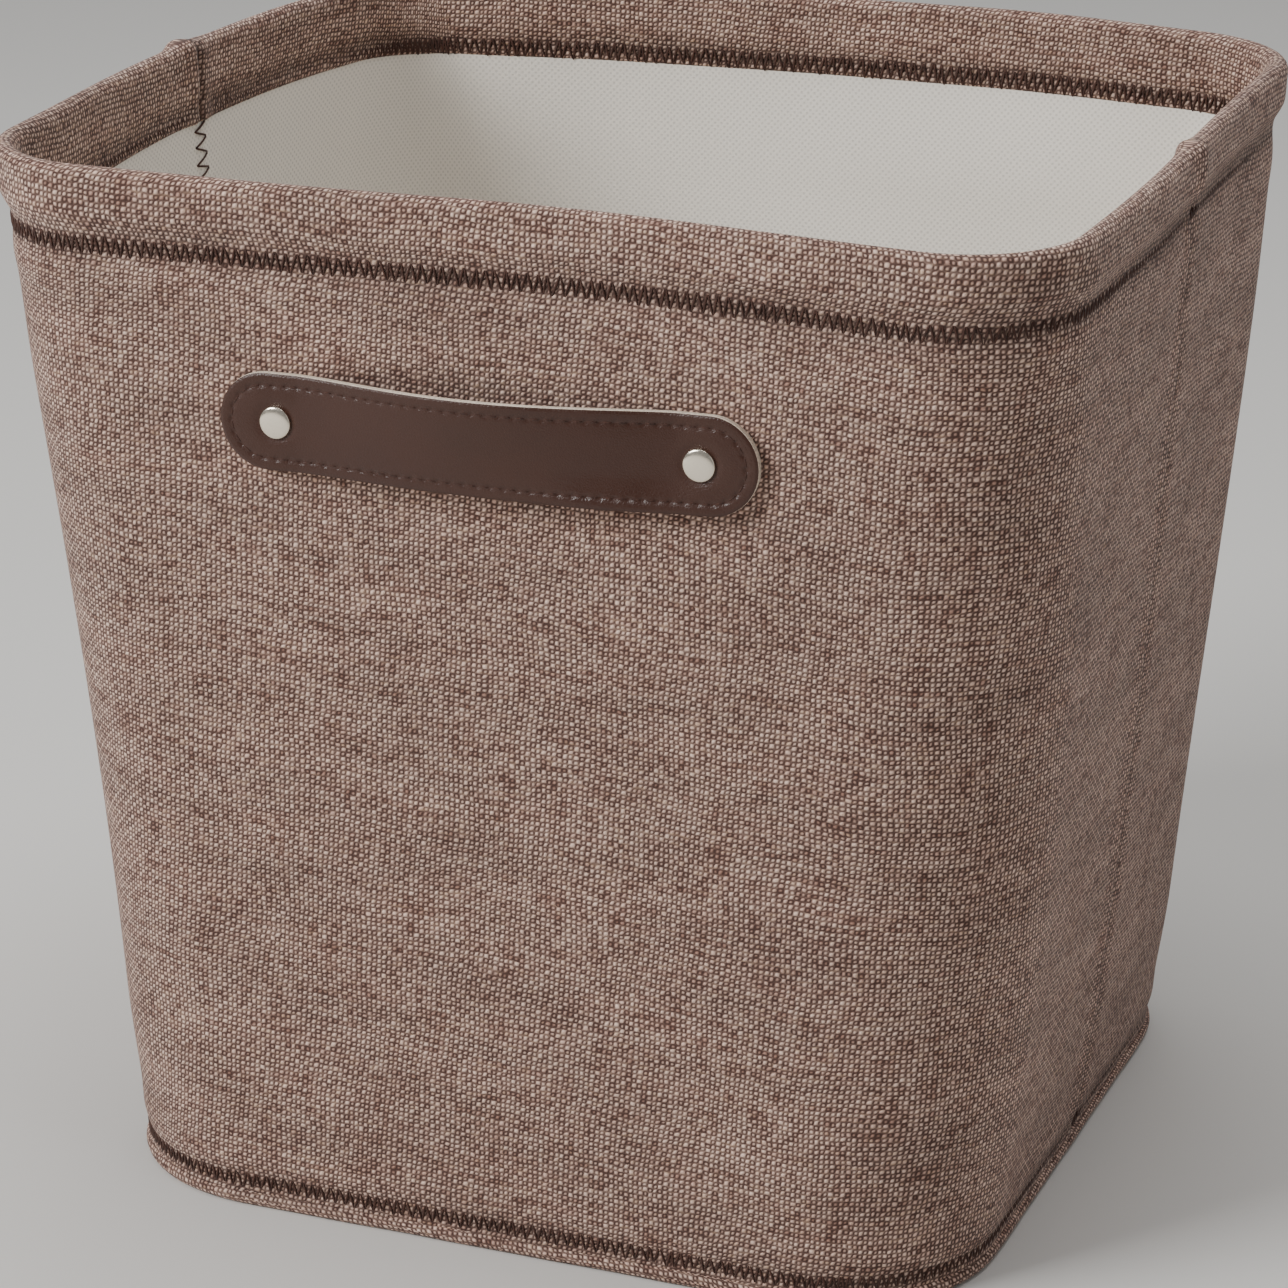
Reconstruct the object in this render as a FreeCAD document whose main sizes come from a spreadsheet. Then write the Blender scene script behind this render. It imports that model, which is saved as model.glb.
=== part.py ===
"""Fabric storage bin: a soft, tapered tub with rounded corners.

Wire hoops hold its rim and its base open. The wall is three layers, an outer tweed, a felt and a
pale lining, made in a front half and a back half that meet in a seam at each side. The tweed is
turned in over the rim hoop as a deep hem. A riveted leather strap is the handle at the front and
at the back, and a wrapped board lies loose on the floor.

Frame: origin under the middle of the base, +Z up, X across the straps, -Y the front. Millimetres.
"""
import FreeCAD, Part
import math
import os
import Sketcher

UP = FreeCAD.Vector(0, 0, 1)

doc = FreeCAD.newDocument("fabric_bin")
sheet = doc.addObject("Spreadsheet::Sheet", "Sizes")

SIZES = (
    ("height", 330.0, "whole height of the bin"),
    ("rim_half_width", 166.0, "middle to the outside of the hem, along X"),
    ("rim_half_depth", 145.4, "middle to the outside of the hem, along Y"),
    ("rim_corner", 38.0, "outer corner radius at the rim"),
    ("base_half_width", 142.0, "middle to the outside of the wall at the floor, along X"),
    ("base_half_depth", 136.4, "middle to the outside of the wall at the floor, along Y"),
    ("base_corner", 54.0, "outer corner radius at the floor"),
    ("tweed", 1.0, "thickness of the outer cloth"),
    ("felt", 1.6, "thickness of the felt that stiffens the wall"),
    ("lining", 0.8, "thickness of the lining cloth"),
    ("hem_depth", 25.0, "depth of the turned-in hem"),
    ("layer_drop", 10.0, "rim down to the top of the felt and the lining"),
    ("rim_wire", 4.0, "diameter of the rim hoop"),
    ("base_wire", 2.4, "diameter of the base hoop"),
    ("sleeve_wall", 0.3, "wall of the sleeve that closes each hoop"),
    ("sleeve_gap", 0.1, "space between a sleeve and the cloth round it"),
    ("sleeve_length", 28.0, "length of each sleeve"),
    ("welt_cloth", 0.8, "thickness of the cloth tube round the base hoop"),
    ("thread", 0.4, "how far a row of stitches stands up"),
    ("zigzag", 7.0, "height of the zigzag rows"),
    ("seam_zigzag", 5.5, "width of the zigzag down each side of the lining"),
    ("board", 2.4, "thickness of the loose board"),
    ("board_cloth", 0.6, "thickness of the cloth wrapped round the board"),
    ("board_gap", 3.0, "space between the wrapped board and the wall"),
    ("board_turn", 22.0, "width of the cloth turned under the board"),
    ("strap_length", 165.0, "length of a strap"),
    ("strap_width", 29.0, "width of a strap, up the wall"),
    ("strap_height", 261.5, "height of the middle of a strap"),
    ("strap_leather", 1.6, "thickness of each of a strap's two layers"),
    ("strap_bow", 7.0, "how far the middle of a strap stands out from its ends"),
    ("strap_stitch_inset", 3.5, "edge of a strap to its stitches"),
    ("strap_stitch_width", 0.8, "width of the row of stitches"),
    ("rivet_spacing", 130.0, "between the two rivets of a strap"),
    ("rivet_cap", 9.8, "diameter of a rivet's cap"),
    ("rivet_cap_rise", 1.7, "height of a rivet's cap"),
    ("rivet_dome", 0.7, "how much of that height is domed"),
    ("rivet_shank", 4.0, "diameter of a rivet's shank"),
    ("rivet_foot", 8.0, "diameter of the foot on the shank's inner end"),
    ("rivet_foot_rise", 0.4, "thickness of that foot"),
    ("washer", 12.0, "diameter of the washer behind the cloth"),
    ("washer_rise", 0.5, "thickness of the washer"),
    ("seat", 0.3, "space between pieces that move on each other"),
    ("shank_gap", 0.1, "space round a shank in its hole"),
)
for row, (alias, value, meaning) in enumerate(SIZES, start=1):
    sheet.set(f"A{row}", alias)
    sheet.set(f"B{row}", str(value))
    sheet.set(f"C{row}", meaning)
    sheet.setAlias(f"B{row}", alias)
doc.recompute()

# Sizes that follow from the sheet. The hem and the welt are as wide as their sleeves need. An
# inset is measured inwards from the wall's face.
WALL = "(Sizes.tweed + Sizes.felt + Sizes.lining)"
RIM_SLEEVE = "(Sizes.rim_wire + 2 * Sizes.sleeve_wall)"
BASE_SLEEVE = "(Sizes.base_wire + 2 * Sizes.sleeve_wall)"
HEM_PROUD = f"({RIM_SLEEVE} + 2 * Sizes.sleeve_gap + Sizes.tweed - {WALL})"
WELT_BORE = f"({BASE_SLEEVE} + 2 * Sizes.sleeve_gap)"
WELT = f"({WELT_BORE} + 2 * Sizes.welt_cloth)"
HEM_LOW = "(Sizes.height - Sizes.hem_depth)"
LAYER_TOP = "(Sizes.height - Sizes.layer_drop)"
HEM_FACE = f"(0 - {HEM_PROUD})"
HEM_INSIDE = f"({WALL} + Sizes.tweed)"
ZIGZAG_LIFT = "Sizes.tweed / 2"
FLOOR_TOP = "(Sizes.tweed + Sizes.lining)"
BOARD_LOW = f"({FLOOR_TOP} + Sizes.seat)"
RIM_WIRE_INSET = f"((Sizes.tweed - {HEM_PROUD} + {WALL}) / 2)"
RIM_WIRE_HEIGHT = f"(Sizes.height - Sizes.tweed - {RIM_SLEEVE} / 2 - Sizes.sleeve_gap)"
WELT_INSET = f"({WALL} - {WELT} / 2)"
WELT_HEIGHT = f"({WELT} / 2)"
STRAP_TOP = "(Sizes.strap_height + Sizes.strap_width / 2)"


def along_wall(base, rim, inset, level):
    """One size of the wall's outline, inset from its face: straight from the floor to the rim."""
    top = f"(Sizes.{rim} - {HEM_PROUD})"
    return f"Sizes.{base} + ({top} - Sizes.{base}) * ({level}) / Sizes.height - ({inset})"


def half_width(inset, level):
    return along_wall("base_half_width", "rim_half_width", inset, level)


def half_depth(inset, level):
    return along_wall("base_half_depth", "rim_half_depth", inset, level)


def corner(inset, level):
    return along_wall("base_corner", "rim_corner", inset, level)


# How far out the back of a strap's flat ends, and the underside of a rivet's cap, stand from the
# middle of the bin. The wall leans out, so the strap's upper edge is what clears it.
STRAP_BACK = f"{half_depth('0', STRAP_TOP)} + Sizes.seat"
CAP_UNDER = f"({STRAP_BACK} + 2 * Sizes.strap_leather + Sizes.seat)"
WASHER_LOW = "(Sizes.strap_height - Sizes.washer / 2)"
WASHER_FACE = f"({half_depth('Sizes.tweed', WASHER_LOW)})"


def number(expression):
    return float(sheet.evalExpression(expression))


def bind(thing, **expressions):
    """Bind properties to expressions; two underscores in a name stand for a dot."""
    for name, expression in expressions.items():
        thing.setExpression(name.replace("__", "."), expression)


def place(thing, x="0", y="0", z="0"):
    bind(thing, Placement__Base__x=x, Placement__Base__y=y, Placement__Base__z=z)


def constrain(sketch, *terms):
    for term in terms:
        sketch.addConstraint(Sketcher.Constraint(*term))


def size(sketch, name, expression, kind, *where):
    """Add one named dimension to a sketch and bind it."""
    index = sketch.addConstraint(Sketcher.Constraint(kind, *where, number(expression)))
    sketch.renameConstraint(index, name)
    sketch.setExpression(f"Constraints.{name}", expression)


def span_sizes(sketch, name, right, left, expression):
    """Hold one point right of the origin and one left of it, the same distance each."""
    size(sketch, f"{name}_right", expression, "DistanceX", -1, 1, *right)
    size(sketch, f"{name}_left", expression, "DistanceX", *left, -1, 1)


def rise_sizes(sketch, name, upper, lower, expression):
    """Hold one point above the origin and one below it, the same distance each."""
    size(sketch, f"{name}_upper", expression, "DistanceY", -1, 1, *upper)
    size(sketch, f"{name}_lower", expression, "DistanceY", *lower, -1, 1)


def line(start, end):
    return Part.LineSegment(FreeCAD.Vector(*start, 0), FreeCAD.Vector(*end, 0))


def arc(centre, radius, start, end):
    circle = Part.Circle(FreeCAD.Vector(*centre, 0), UP, radius)
    return Part.ArcOfCircle(circle, start, end)


def draw_outline(sketch, width, depth, radius):
    """A rectangle with rounded corners about the sketch's origin: four lines and four arcs."""
    w, d, r = number(width), number(depth), number(radius)
    ends = [((r - w, -d), (w - r, -d)), ((w, r - d), (w, d - r))]
    ends += [((w - r, d), (r - w, d)), ((-w, d - r), (-w, r - d))]
    centres = [(w - r, r - d), (w - r, d - r), (r - w, d - r), (r - w, r - d)]
    for turn, (points, centre) in enumerate(zip(ends, centres)):
        sketch.addGeometry(line(*points))
        sketch.addGeometry(arc(centre, r, (turn - 1) * math.pi / 2, turn * math.pi / 2))
    for piece in range(8):
        constrain(sketch, ("Tangent", piece, 2, (piece + 1) % 8, 1))
    constrain(sketch, ("Horizontal", 0), ("Vertical", 2), ("Horizontal", 4), ("Vertical", 6))
    constrain(sketch, ("Equal", 1, 3), ("Equal", 3, 5), ("Equal", 5, 7))
    size(sketch, "corner", radius, "Radius", 1)
    span_sizes(sketch, "half_width", (2, 1), (6, 1), width)
    rise_sizes(sketch, "half_depth", (4, 1), (0, 1), depth)


def draw_stadium(sketch, half_length, radius):
    """Two lines joined by two half circles, about the sketch's origin."""
    first = sketch.GeometryCount
    a, r = number(half_length) - number(radius), number(radius)
    quarter = math.pi / 2
    sketch.addGeometry(line((-a, -r), (a, -r)))
    sketch.addGeometry(arc((a, 0), r, -quarter, quarter))
    sketch.addGeometry(line((a, r), (-a, r)))
    sketch.addGeometry(arc((-a, 0), r, quarter, 3 * quarter))
    for piece in range(4):
        constrain(sketch, ("Tangent", first + piece, 2, first + (piece + 1) % 4, 1))
    constrain(sketch, ("Horizontal", first))
    constrain(sketch, ("PointOnObject", first + 1, 3, -1), ("PointOnObject", first + 3, 3, -1))
    size(sketch, f"radius_{first}", radius, "Radius", first + 1)
    reach = f"{half_length} - ({radius})"
    span_sizes(sketch, f"centre_{first}", (first + 1, 3), (first + 3, 3), reach)


def draw_rectangle(sketch, left, right, low, top):
    """A plain rectangle; its four sides are distances from the origin, right and top positive."""
    first = sketch.GeometryCount
    x0, x1, y0, y1 = number(left), number(right), number(low), number(top)
    points = ((x0, y0), (x1, y0), (x1, y1), (x0, y1))
    for side in range(4):
        sketch.addGeometry(line(points[side], points[(side + 1) % 4]))
    for side in range(4):
        constrain(sketch, ("Coincident", first + side, 2, first + (side + 1) % 4, 1))
        constrain(sketch, (("Horizontal", "Vertical")[side % 2], first + side))
    size(sketch, f"left_{first}", left, "DistanceX", -1, 1, first, 1)
    size(sketch, f"right_{first}", right, "DistanceX", -1, 1, first, 2)
    size(sketch, f"low_{first}", low, "DistanceY", -1, 1, first, 1)
    size(sketch, f"top_{first}", top, "DistanceY", -1, 1, first + 2, 1)


def draw_circle(sketch, radius, x, y):
    first = sketch.GeometryCount
    centre = FreeCAD.Vector(number(x), number(y), 0)
    sketch.addGeometry(Part.Circle(centre, UP, number(radius)))
    size(sketch, f"radius_{first}", radius, "Radius", first)
    size(sketch, f"across_{first}", x, "DistanceX", -1, 1, first, 3)
    size(sketch, f"up_{first}", y, "DistanceY", -1, 1, first, 3)


def new_body(label):
    body = doc.addObject("PartDesign::Body", label)
    body.Label = label
    return body


def body_sketch(body, name, role, offset="0"):
    """A sketch on one of the body's own origin planes, moved along the plane's normal."""
    sketch = body.newObject("Sketcher::SketchObject", f"{body.Label}_{name}")
    plane = next(f for f in body.Origin.OriginFeatures if f.Role == role)
    sketch.AttachmentSupport = [(plane, "")]
    sketch.MapMode = "FlatFace"
    sketch.setExpression("AttachmentOffset.Base.z", offset)
    return sketch


def body_feature(body, kind, name, profile, **bindings):
    feature = body.newObject(f"PartDesign::{kind}", f"{body.Label}_{name}")
    feature.Profile = profile
    bind(feature, **bindings)
    body.Tip = feature
    return feature


def remove(body, name, sketch, depth=None, flip=False):
    """Pocket a sketch, through everything both ways or to a depth, and check that it cuts."""
    doc.recompute()
    before = body.Shape.Volume
    pocket = body_feature(body, "Pocket", name, sketch)
    if depth is None:
        pocket.Type = "ThroughAll"
        pocket.Midplane = True
    else:
        bind(pocket, Length=depth)
        pocket.Reversed = flip
    doc.recompute()
    if body.Shape.Volume > before - 1:
        raise RuntimeError(f"{body.Label}: {name} cuts nothing")


def combine(kind, label, **links):
    """A boolean or compound of other objects."""
    result = doc.addObject(f"Part::{kind}", label)
    for name, value in links.items():
        setattr(result, name, value)
    result.Label = label
    return result


def frustum(name, inset, low, top):
    """The solid inside one inset of the wall, between two levels: a loft of two outlines."""
    outlines = []
    for end, level in (("low", low), ("top", top)):
        sketch = doc.addObject("Sketcher::SketchObject", f"{name}_{end}")
        place(sketch, z=level)
        draw_outline(sketch, half_width(inset, level), half_depth(inset, level), corner(inset, level))
        outlines.append(sketch)
    return combine("Loft", name, Sections=outlines, Solid=True, Ruled=True)


def ring(name, outer, inner, low, top):
    """A band of the wall between two insets and two levels."""
    outside = frustum(f"{name}_outside", outer, low, top)
    inside = frustum(f"{name}_inside", inner, low, top)
    return combine("Cut", name, Base=outside, Tool=inside)


def block(name, x, y, z, length, width, height):
    """A box from its low corner and its three sizes, all expressions."""
    box = doc.addObject("Part::Box", name)
    bind(box, Length=length, Width=width, Height=height)
    place(box, x, y, z)
    return box


def round_bar(name, radius, x, y, z, length, turn=(1, 0, 0, 90)):
    """A cylinder from the middle of one end. The usual turn lays it from there towards -Y."""
    bar = doc.addObject("Part::Cylinder", name)
    bar.Placement = FreeCAD.Placement(FreeCAD.Vector(), FreeCAD.Rotation(UP, 0))
    bar.Placement.Rotation = FreeCAD.Rotation(FreeCAD.Vector(*turn[:3]), turn[3])
    bind(bar, Radius=radius, Height=length)
    place(bar, x, y, z)
    return bar


def mirrored(label, source, normal):
    """A copy on the other side of the middle plane."""
    copy = combine("Mirroring", label, Source=source)
    copy.Normal = FreeCAD.Vector(*normal)
    return copy


def pair(label, right):
    """A piece at the right-hand rivet and its copy at the left-hand one, in one node."""
    left = mirrored(f"{label}_left", right, (1, 0, 0))
    return combine("Compound", label, Links=[right, left])


# Boxes that part the wall in a front and a back half, and drills for the rivets.
REACH = "(Sizes.rim_half_width + Sizes.rim_half_depth)"
FAR = f"0 - {REACH}"
WHOLE = f"2 * {REACH}"
front_half = block("front_half", FAR, FAR, "0", WHOLE, REACH, "Sizes.height")
back_half = block("back_half", FAR, "0", "0", WHOLE, REACH, "Sizes.height")


def drills(name, radius):
    """Two long bars along Y through both walls, on the rivets' lines."""
    bars = []
    for side, sign in (("left", "0 -"), ("right", "0 +")):
        x = f"{sign} Sizes.rivet_spacing / 2"
        bars.append(round_bar(f"{name}_{side}", radius, x, REACH, "Sizes.strap_height", WHOLE))
    return combine("MultiFuse", name, Shapes=bars)


shank_drill = drills("shank_drill", "Sizes.rivet_shank / 2 + Sizes.shank_gap")
washer_drill = drills("washer_drill", "Sizes.washer / 2 + Sizes.seat")


def two_halves(name, whole, drill=None):
    """The front and the back half of one layer of the wall, bored where the rivets pass."""
    halves = []
    for side, half in (("front", front_half), ("back", back_half)):
        label = f"{side}_{name}"
        if drill is None:
            halves.append(combine("Common", label, Base=whole, Tool=half))
            continue
        cloth = combine("Common", f"{label}_cut", Base=whole, Tool=half)
        halves.append(combine("Cut", label, Base=cloth, Tool=drill))
    return halves


def make_panels():
    """The tweed: a plain wall with its top turned out, over the rim hoop and down inside."""
    wall = ring("tweed_wall", "0", "Sizes.tweed", WELT, HEM_LOW)
    hem = ring("hem", HEM_FACE, HEM_INSIDE, HEM_LOW, "Sizes.height")
    hollow_low = f"({HEM_LOW} + Sizes.tweed)"
    hollow_top = "(Sizes.height - Sizes.tweed)"
    hollow = ring("hem_hollow", f"{HEM_FACE} + Sizes.tweed", WALL, hollow_low, hollow_top)
    mouth = ring("hem_mouth", "Sizes.tweed", WALL, HEM_LOW, hollow_low)
    space = combine("MultiFuse", "hem_space", Shapes=[hollow, mouth])
    open_hem = combine("Cut", "open_hem", Base=hem, Tool=space)
    whole = combine("MultiFuse", "tweed_whole", Shapes=[wall, open_hem])
    return two_halves("panel", whole, shank_drill)


def make_inner_layers():
    """Felt and lining, from the welt to just under the rim hoop."""
    felt = ring("felt_whole", "Sizes.tweed", "Sizes.tweed + Sizes.felt", WELT, LAYER_TOP)
    lining = ring("lining_whole", "Sizes.tweed + Sizes.felt", WALL, WELT, LAYER_TOP)
    return two_halves("felt", felt, washer_drill) + two_halves("lining", lining)


def make_wall_threads():
    """Rows of zigzag stitches, each stood in for by a thin band."""
    low, top = f"({HEM_LOW} + {ZIGZAG_LIFT})", f"({HEM_LOW} + {ZIGZAG_LIFT} + Sizes.zigzag)"
    needle = ring("rim_needle_thread", f"{HEM_FACE} - Sizes.thread", HEM_FACE, low, top)
    bobbin = ring("rim_bobbin_thread", HEM_INSIDE, f"{HEM_INSIDE} + Sizes.thread", low, top)
    foot = ring("base_needle_thread", "0 - Sizes.thread", "0", WELT, f"({WELT} + Sizes.zigzag)")
    strip = ring("seam_thread_band", WALL, f"{WALL} + Sizes.thread", WELT, HEM_LOW)
    threads = [needle, bobbin, foot]
    for side, start in (("left", FAR), ("right", "0")):
        name = f"{side}_seam_thread"
        slot = block(f"{name}_slot", start, "0 - Sizes.seam_zigzag / 2", "0", REACH,
                     "Sizes.seam_zigzag", "Sizes.height")
        threads.append(combine("Common", name, Base=strip, Tool=slot))
    return threads


def make_hoop(label, inset, level, diameter, bore=None):
    """A round bar or tube bent round the bin at one inset and one level."""
    body = new_body(label)
    path = body_sketch(body, "path", "XY_Plane", level)
    draw_outline(path, half_width(inset, level), half_depth(inset, level), corner(inset, level))
    edges = [f"Edge{index}" for index in range(1, path.GeometryCount + 1)]
    rounds = [("AdditivePipe", "bar", diameter)]
    if bore:
        rounds.append(("SubtractivePipe", "bore", bore))
    for kind, name, across in rounds:
        section = body_sketch(body, f"{name}_section", "XZ_Plane")
        draw_circle(section, f"{across} / 2", half_width(inset, level), level)
        pipe = body_feature(body, kind, name, section)
        pipe.Spine = (path, edges)
    return body


def make_sleeve(label, inset, level, diameter, wire):
    """A crimped tube on the hoop, in the middle of its back run."""
    start = "0 - Sizes.sleeve_length / 2"
    middle = half_depth(inset, level)
    lie = (0, 1, 0, 90)
    outer = round_bar(f"{label}_outer", f"{diameter} / 2", start, middle, level,
                      "Sizes.sleeve_length", lie)
    bore = round_bar(f"{label}_bore", f"{wire} / 2", start, middle, level,
                     "Sizes.sleeve_length", lie)
    return combine("Cut", label, Base=outer, Tool=bore)


def make_plate(label, inset, level, low, thickness):
    """A flat piece with the bin's outline at one inset and level, laid at a height."""
    body = new_body(label)
    sketch = body_sketch(body, "outline", "XY_Plane", low)
    draw_outline(sketch, half_width(inset, level), half_depth(inset, level), corner(inset, level))
    body_feature(body, "Pad", "pad", sketch, Length=thickness)
    return body


def make_board_cover(inset):
    """Cloth wrapped over the board and turned under its edge, open in the middle below."""
    thick = "Sizes.board + 2 * Sizes.board_cloth"
    body = make_plate("base_board_cover", inset, "0", BOARD_LOW, thick)
    board = f"({inset} + Sizes.board_cloth)"
    mouth = f"({inset} + Sizes.board_turn)"
    cuts = (("board_room", board, f"({BOARD_LOW} + Sizes.board_cloth)", "Sizes.board"),
            ("mouth", mouth, BOARD_LOW, "Sizes.board_cloth"))
    for name, edge, low, depth in cuts:
        sketch = body_sketch(body, name, "XY_Plane", low)
        draw_outline(sketch, half_width(edge, "0"), half_depth(edge, "0"), corner(edge, "0"))
        remove(body, f"{name}_cut", sketch, depth, flip=True)
    return body


def strap_path(body):
    """Flat under each rivet, and between them two bends out and one back, all of one radius."""
    sketch = body_sketch(body, "path", "XY_Plane")
    half_length = "Sizes.strap_length / 2"
    flat = "(Sizes.rivet_spacing / 2 - Sizes.rivet_cap)"
    bow = "Sizes.strap_bow"
    radius = f"(({flat} * {flat} + {bow} * {bow}) / (4 * {bow}))"
    a, f, b, r = number(half_length), number(flat), number(bow), number(radius)
    swing = math.asin(f / 2 / r)
    quarter = math.pi / 2
    sketch.addGeometry(line((-a, 0), (-f, 0)))
    sketch.addGeometry(arc((-f, -r), r, quarter - swing, quarter))
    sketch.addGeometry(arc((0, r - b), r, 3 * quarter - swing, 3 * quarter + swing))
    sketch.addGeometry(arc((f, -r), r, quarter, quarter + swing))
    sketch.addGeometry(line((f, 0), (a, 0)))
    joints = ((0, 2, 1, 2), (1, 1, 2, 1), (2, 2, 3, 2), (3, 1, 4, 1))
    for joint in joints:
        constrain(sketch, ("Tangent", *joint))
    for end in ((0, 1), (0, 2), (4, 1), (4, 2)):
        constrain(sketch, ("PointOnObject", *end, -1))
    constrain(sketch, ("Equal", 1, 2), ("Equal", 2, 3))
    span_sizes(sketch, "half_length", (4, 2), (0, 1), half_length)
    span_sizes(sketch, "flat", (4, 1), (0, 2), flat)
    size(sketch, "bend", radius, "Radius", 2)
    return sketch


def make_strap_layer(label, lift, thickness, inset="0", width=None):
    """A layer that follows the strap's bow, lifted off its back and cut to its rounded outline.

    With a width it is only a band of that width along the outline: the row of stitches.
    """
    body = new_body(label)
    path = strap_path(body)
    section = body_sketch(body, "section", "YZ_Plane", "0 - Sizes.strap_length / 2")
    rise = "Sizes.strap_width / 2"
    draw_rectangle(section, f"0 - ({lift}) - ({thickness})", f"0 - ({lift})", f"0 - {rise}", rise)
    pipe = body_feature(body, "AdditivePipe", "pipe", section)
    pipe.Spine = (path, [f"Edge{index}" for index in range(1, path.GeometryCount + 1)])
    trim = body_sketch(body, "trim", "XZ_Plane")
    length = f"(Sizes.strap_length / 2 - {inset})"
    radius = f"(Sizes.strap_width / 2 - {inset})"
    draw_rectangle(trim, "0 - Sizes.strap_length", "Sizes.strap_length",
                   "0 - Sizes.strap_width", "Sizes.strap_width")
    draw_stadium(trim, length, radius)
    remove(body, "ends", trim)
    if width:
        core = body_sketch(body, "core", "XZ_Plane")
        draw_stadium(core, f"({length} - {width})", f"({radius} - {width})")
        remove(body, "middle", core)
    else:
        holes = body_sketch(body, "holes", "XZ_Plane")
        hole = "Sizes.rivet_shank / 2 + Sizes.shank_gap"
        for sign in ("0 -", "0 +"):
            draw_circle(holes, hole, f"{sign} Sizes.rivet_spacing / 2", "0")
        remove(body, "rivet_holes", holes)
    place(body, y=f"0 - ({STRAP_BACK})", z="Sizes.strap_height")
    return body


def make_rivets():
    """Domed cap, shank with a foot, and washer, at each end of the front strap."""
    x, z = "Sizes.rivet_spacing / 2", "Sizes.strap_height"
    blank = round_bar("cap_blank", "Sizes.rivet_cap / 2", x, f"0 - {CAP_UNDER}", z,
                      "Sizes.rivet_cap_rise")
    dome = doc.addObject("Part::Sphere", "cap_dome")
    half, rise = "(Sizes.rivet_cap / 2)", "Sizes.rivet_dome"
    radius = f"(({half} * {half} + {rise} * {rise}) / (2 * {rise}))"
    bind(dome, Radius=radius)
    place(dome, x, f"{radius} - ({CAP_UNDER} + Sizes.rivet_cap_rise)", z)
    cap = combine("Common", "cap", Base=blank, Tool=dome)
    washer_disc = round_bar("washer_disc", "Sizes.washer / 2", x,
                            f"Sizes.washer_rise - {WASHER_FACE}", z, "Sizes.washer_rise")
    washer_bore = round_bar("washer_bore", "Sizes.rivet_shank / 2 + Sizes.shank_gap", x,
                            f"Sizes.washer_rise - {WASHER_FACE}", z, "Sizes.washer_rise")
    washer = combine("Cut", "washer_ring", Base=washer_disc, Tool=washer_bore)
    inner = f"(Sizes.washer_rise + Sizes.rivet_foot_rise - {WASHER_FACE})"
    shank = round_bar("shank", "Sizes.rivet_shank / 2", x, inner, z, f"{inner} + {CAP_UNDER}")
    foot = round_bar("foot", "Sizes.rivet_foot / 2", x, inner, z, "Sizes.rivet_foot_rise")
    post = combine("MultiFuse", "post", Shapes=[shank, foot])
    return [pair("front_rivet_caps", cap), pair("front_rivet_posts", post),
            pair("front_rivet_washers", washer)]


def make_front_handle():
    leather = "Sizes.strap_leather"
    face = make_strap_layer("front_strap_face", leather, leather)
    back = make_strap_layer("front_strap_back", "0", leather)
    stitches = make_strap_layer("front_strap_stitches", f"2 * {leather}", "Sizes.thread",
                                "Sizes.strap_stitch_inset", "Sizes.strap_stitch_width")
    return [face, back, stitches] + make_rivets()


def make_floor():
    """The welt and its hoop, the base cloth, the floor lining and the loose wrapped board."""
    welt = make_hoop("base_welt", WELT_INSET, WELT_HEIGHT, WELT, WELT_BORE)
    hoop = make_hoop("base_wire", WELT_INSET, WELT_HEIGHT, "Sizes.base_wire")
    sleeve = make_sleeve("base_wire_sleeve", WELT_INSET, WELT_HEIGHT, BASE_SLEEVE,
                         "Sizes.base_wire")
    base = make_plate("base_panel", WALL, "0", "0", "Sizes.tweed")
    floor = make_plate("base_lining", WALL, "0", "Sizes.tweed", "Sizes.lining")
    edge = f"({WALL} + Sizes.board_gap)"
    board = make_plate("base_board", f"{edge} + Sizes.board_cloth", "0",
                       f"{BOARD_LOW} + Sizes.board_cloth", "Sizes.board")
    return [welt, hoop, sleeve, base, floor, board, make_board_cover(edge)]


def make_rim():
    hoop = make_hoop("rim_wire", RIM_WIRE_INSET, RIM_WIRE_HEIGHT, "Sizes.rim_wire")
    sleeve = make_sleeve("rim_wire_sleeve", RIM_WIRE_INSET, RIM_WIRE_HEIGHT, RIM_SLEEVE,
                         "Sizes.rim_wire")
    return [hoop, sleeve]


front_handle = make_front_handle()
back_handle = [mirrored(part.Label.replace("front", "back"), part, (0, 1, 0)) for part in front_handle]
parts = make_panels() + make_inner_layers() + make_wall_threads() + make_rim() + make_floor()
parts += front_handle + back_handle
doc.recompute()

for thing in doc.Objects:
    if "Invalid" in thing.State or "Error" in thing.State:
        raise RuntimeError(f"{thing.Label} failed: {thing.State}")
for part in parts:
    if part.Shape.isNull() or not part.Shape.isValid():
        raise RuntimeError(f"{part.Label} has no valid shape")
    if not part.Shape.Solids:
        raise RuntimeError(f"{part.Label} has no solid")

os.makedirs("parts", exist_ok=True)
for part in parts:
    part.Shape.exportStep(f"parts/{part.Label}.step")
    print(part.Label, len(part.Shape.Solids), round(part.Shape.Volume / 1000, 3), "cm3")
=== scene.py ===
"""Looks of the fabric storage bin: woven tweed, turned hem, zigzag thread, lining and leather straps.

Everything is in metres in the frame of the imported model; shapes are worked out in millimetres and
scaled once, when a mesh is made.
"""

import math

import bpy
import numpy as np
from mathutils import Matrix, Vector


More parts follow.
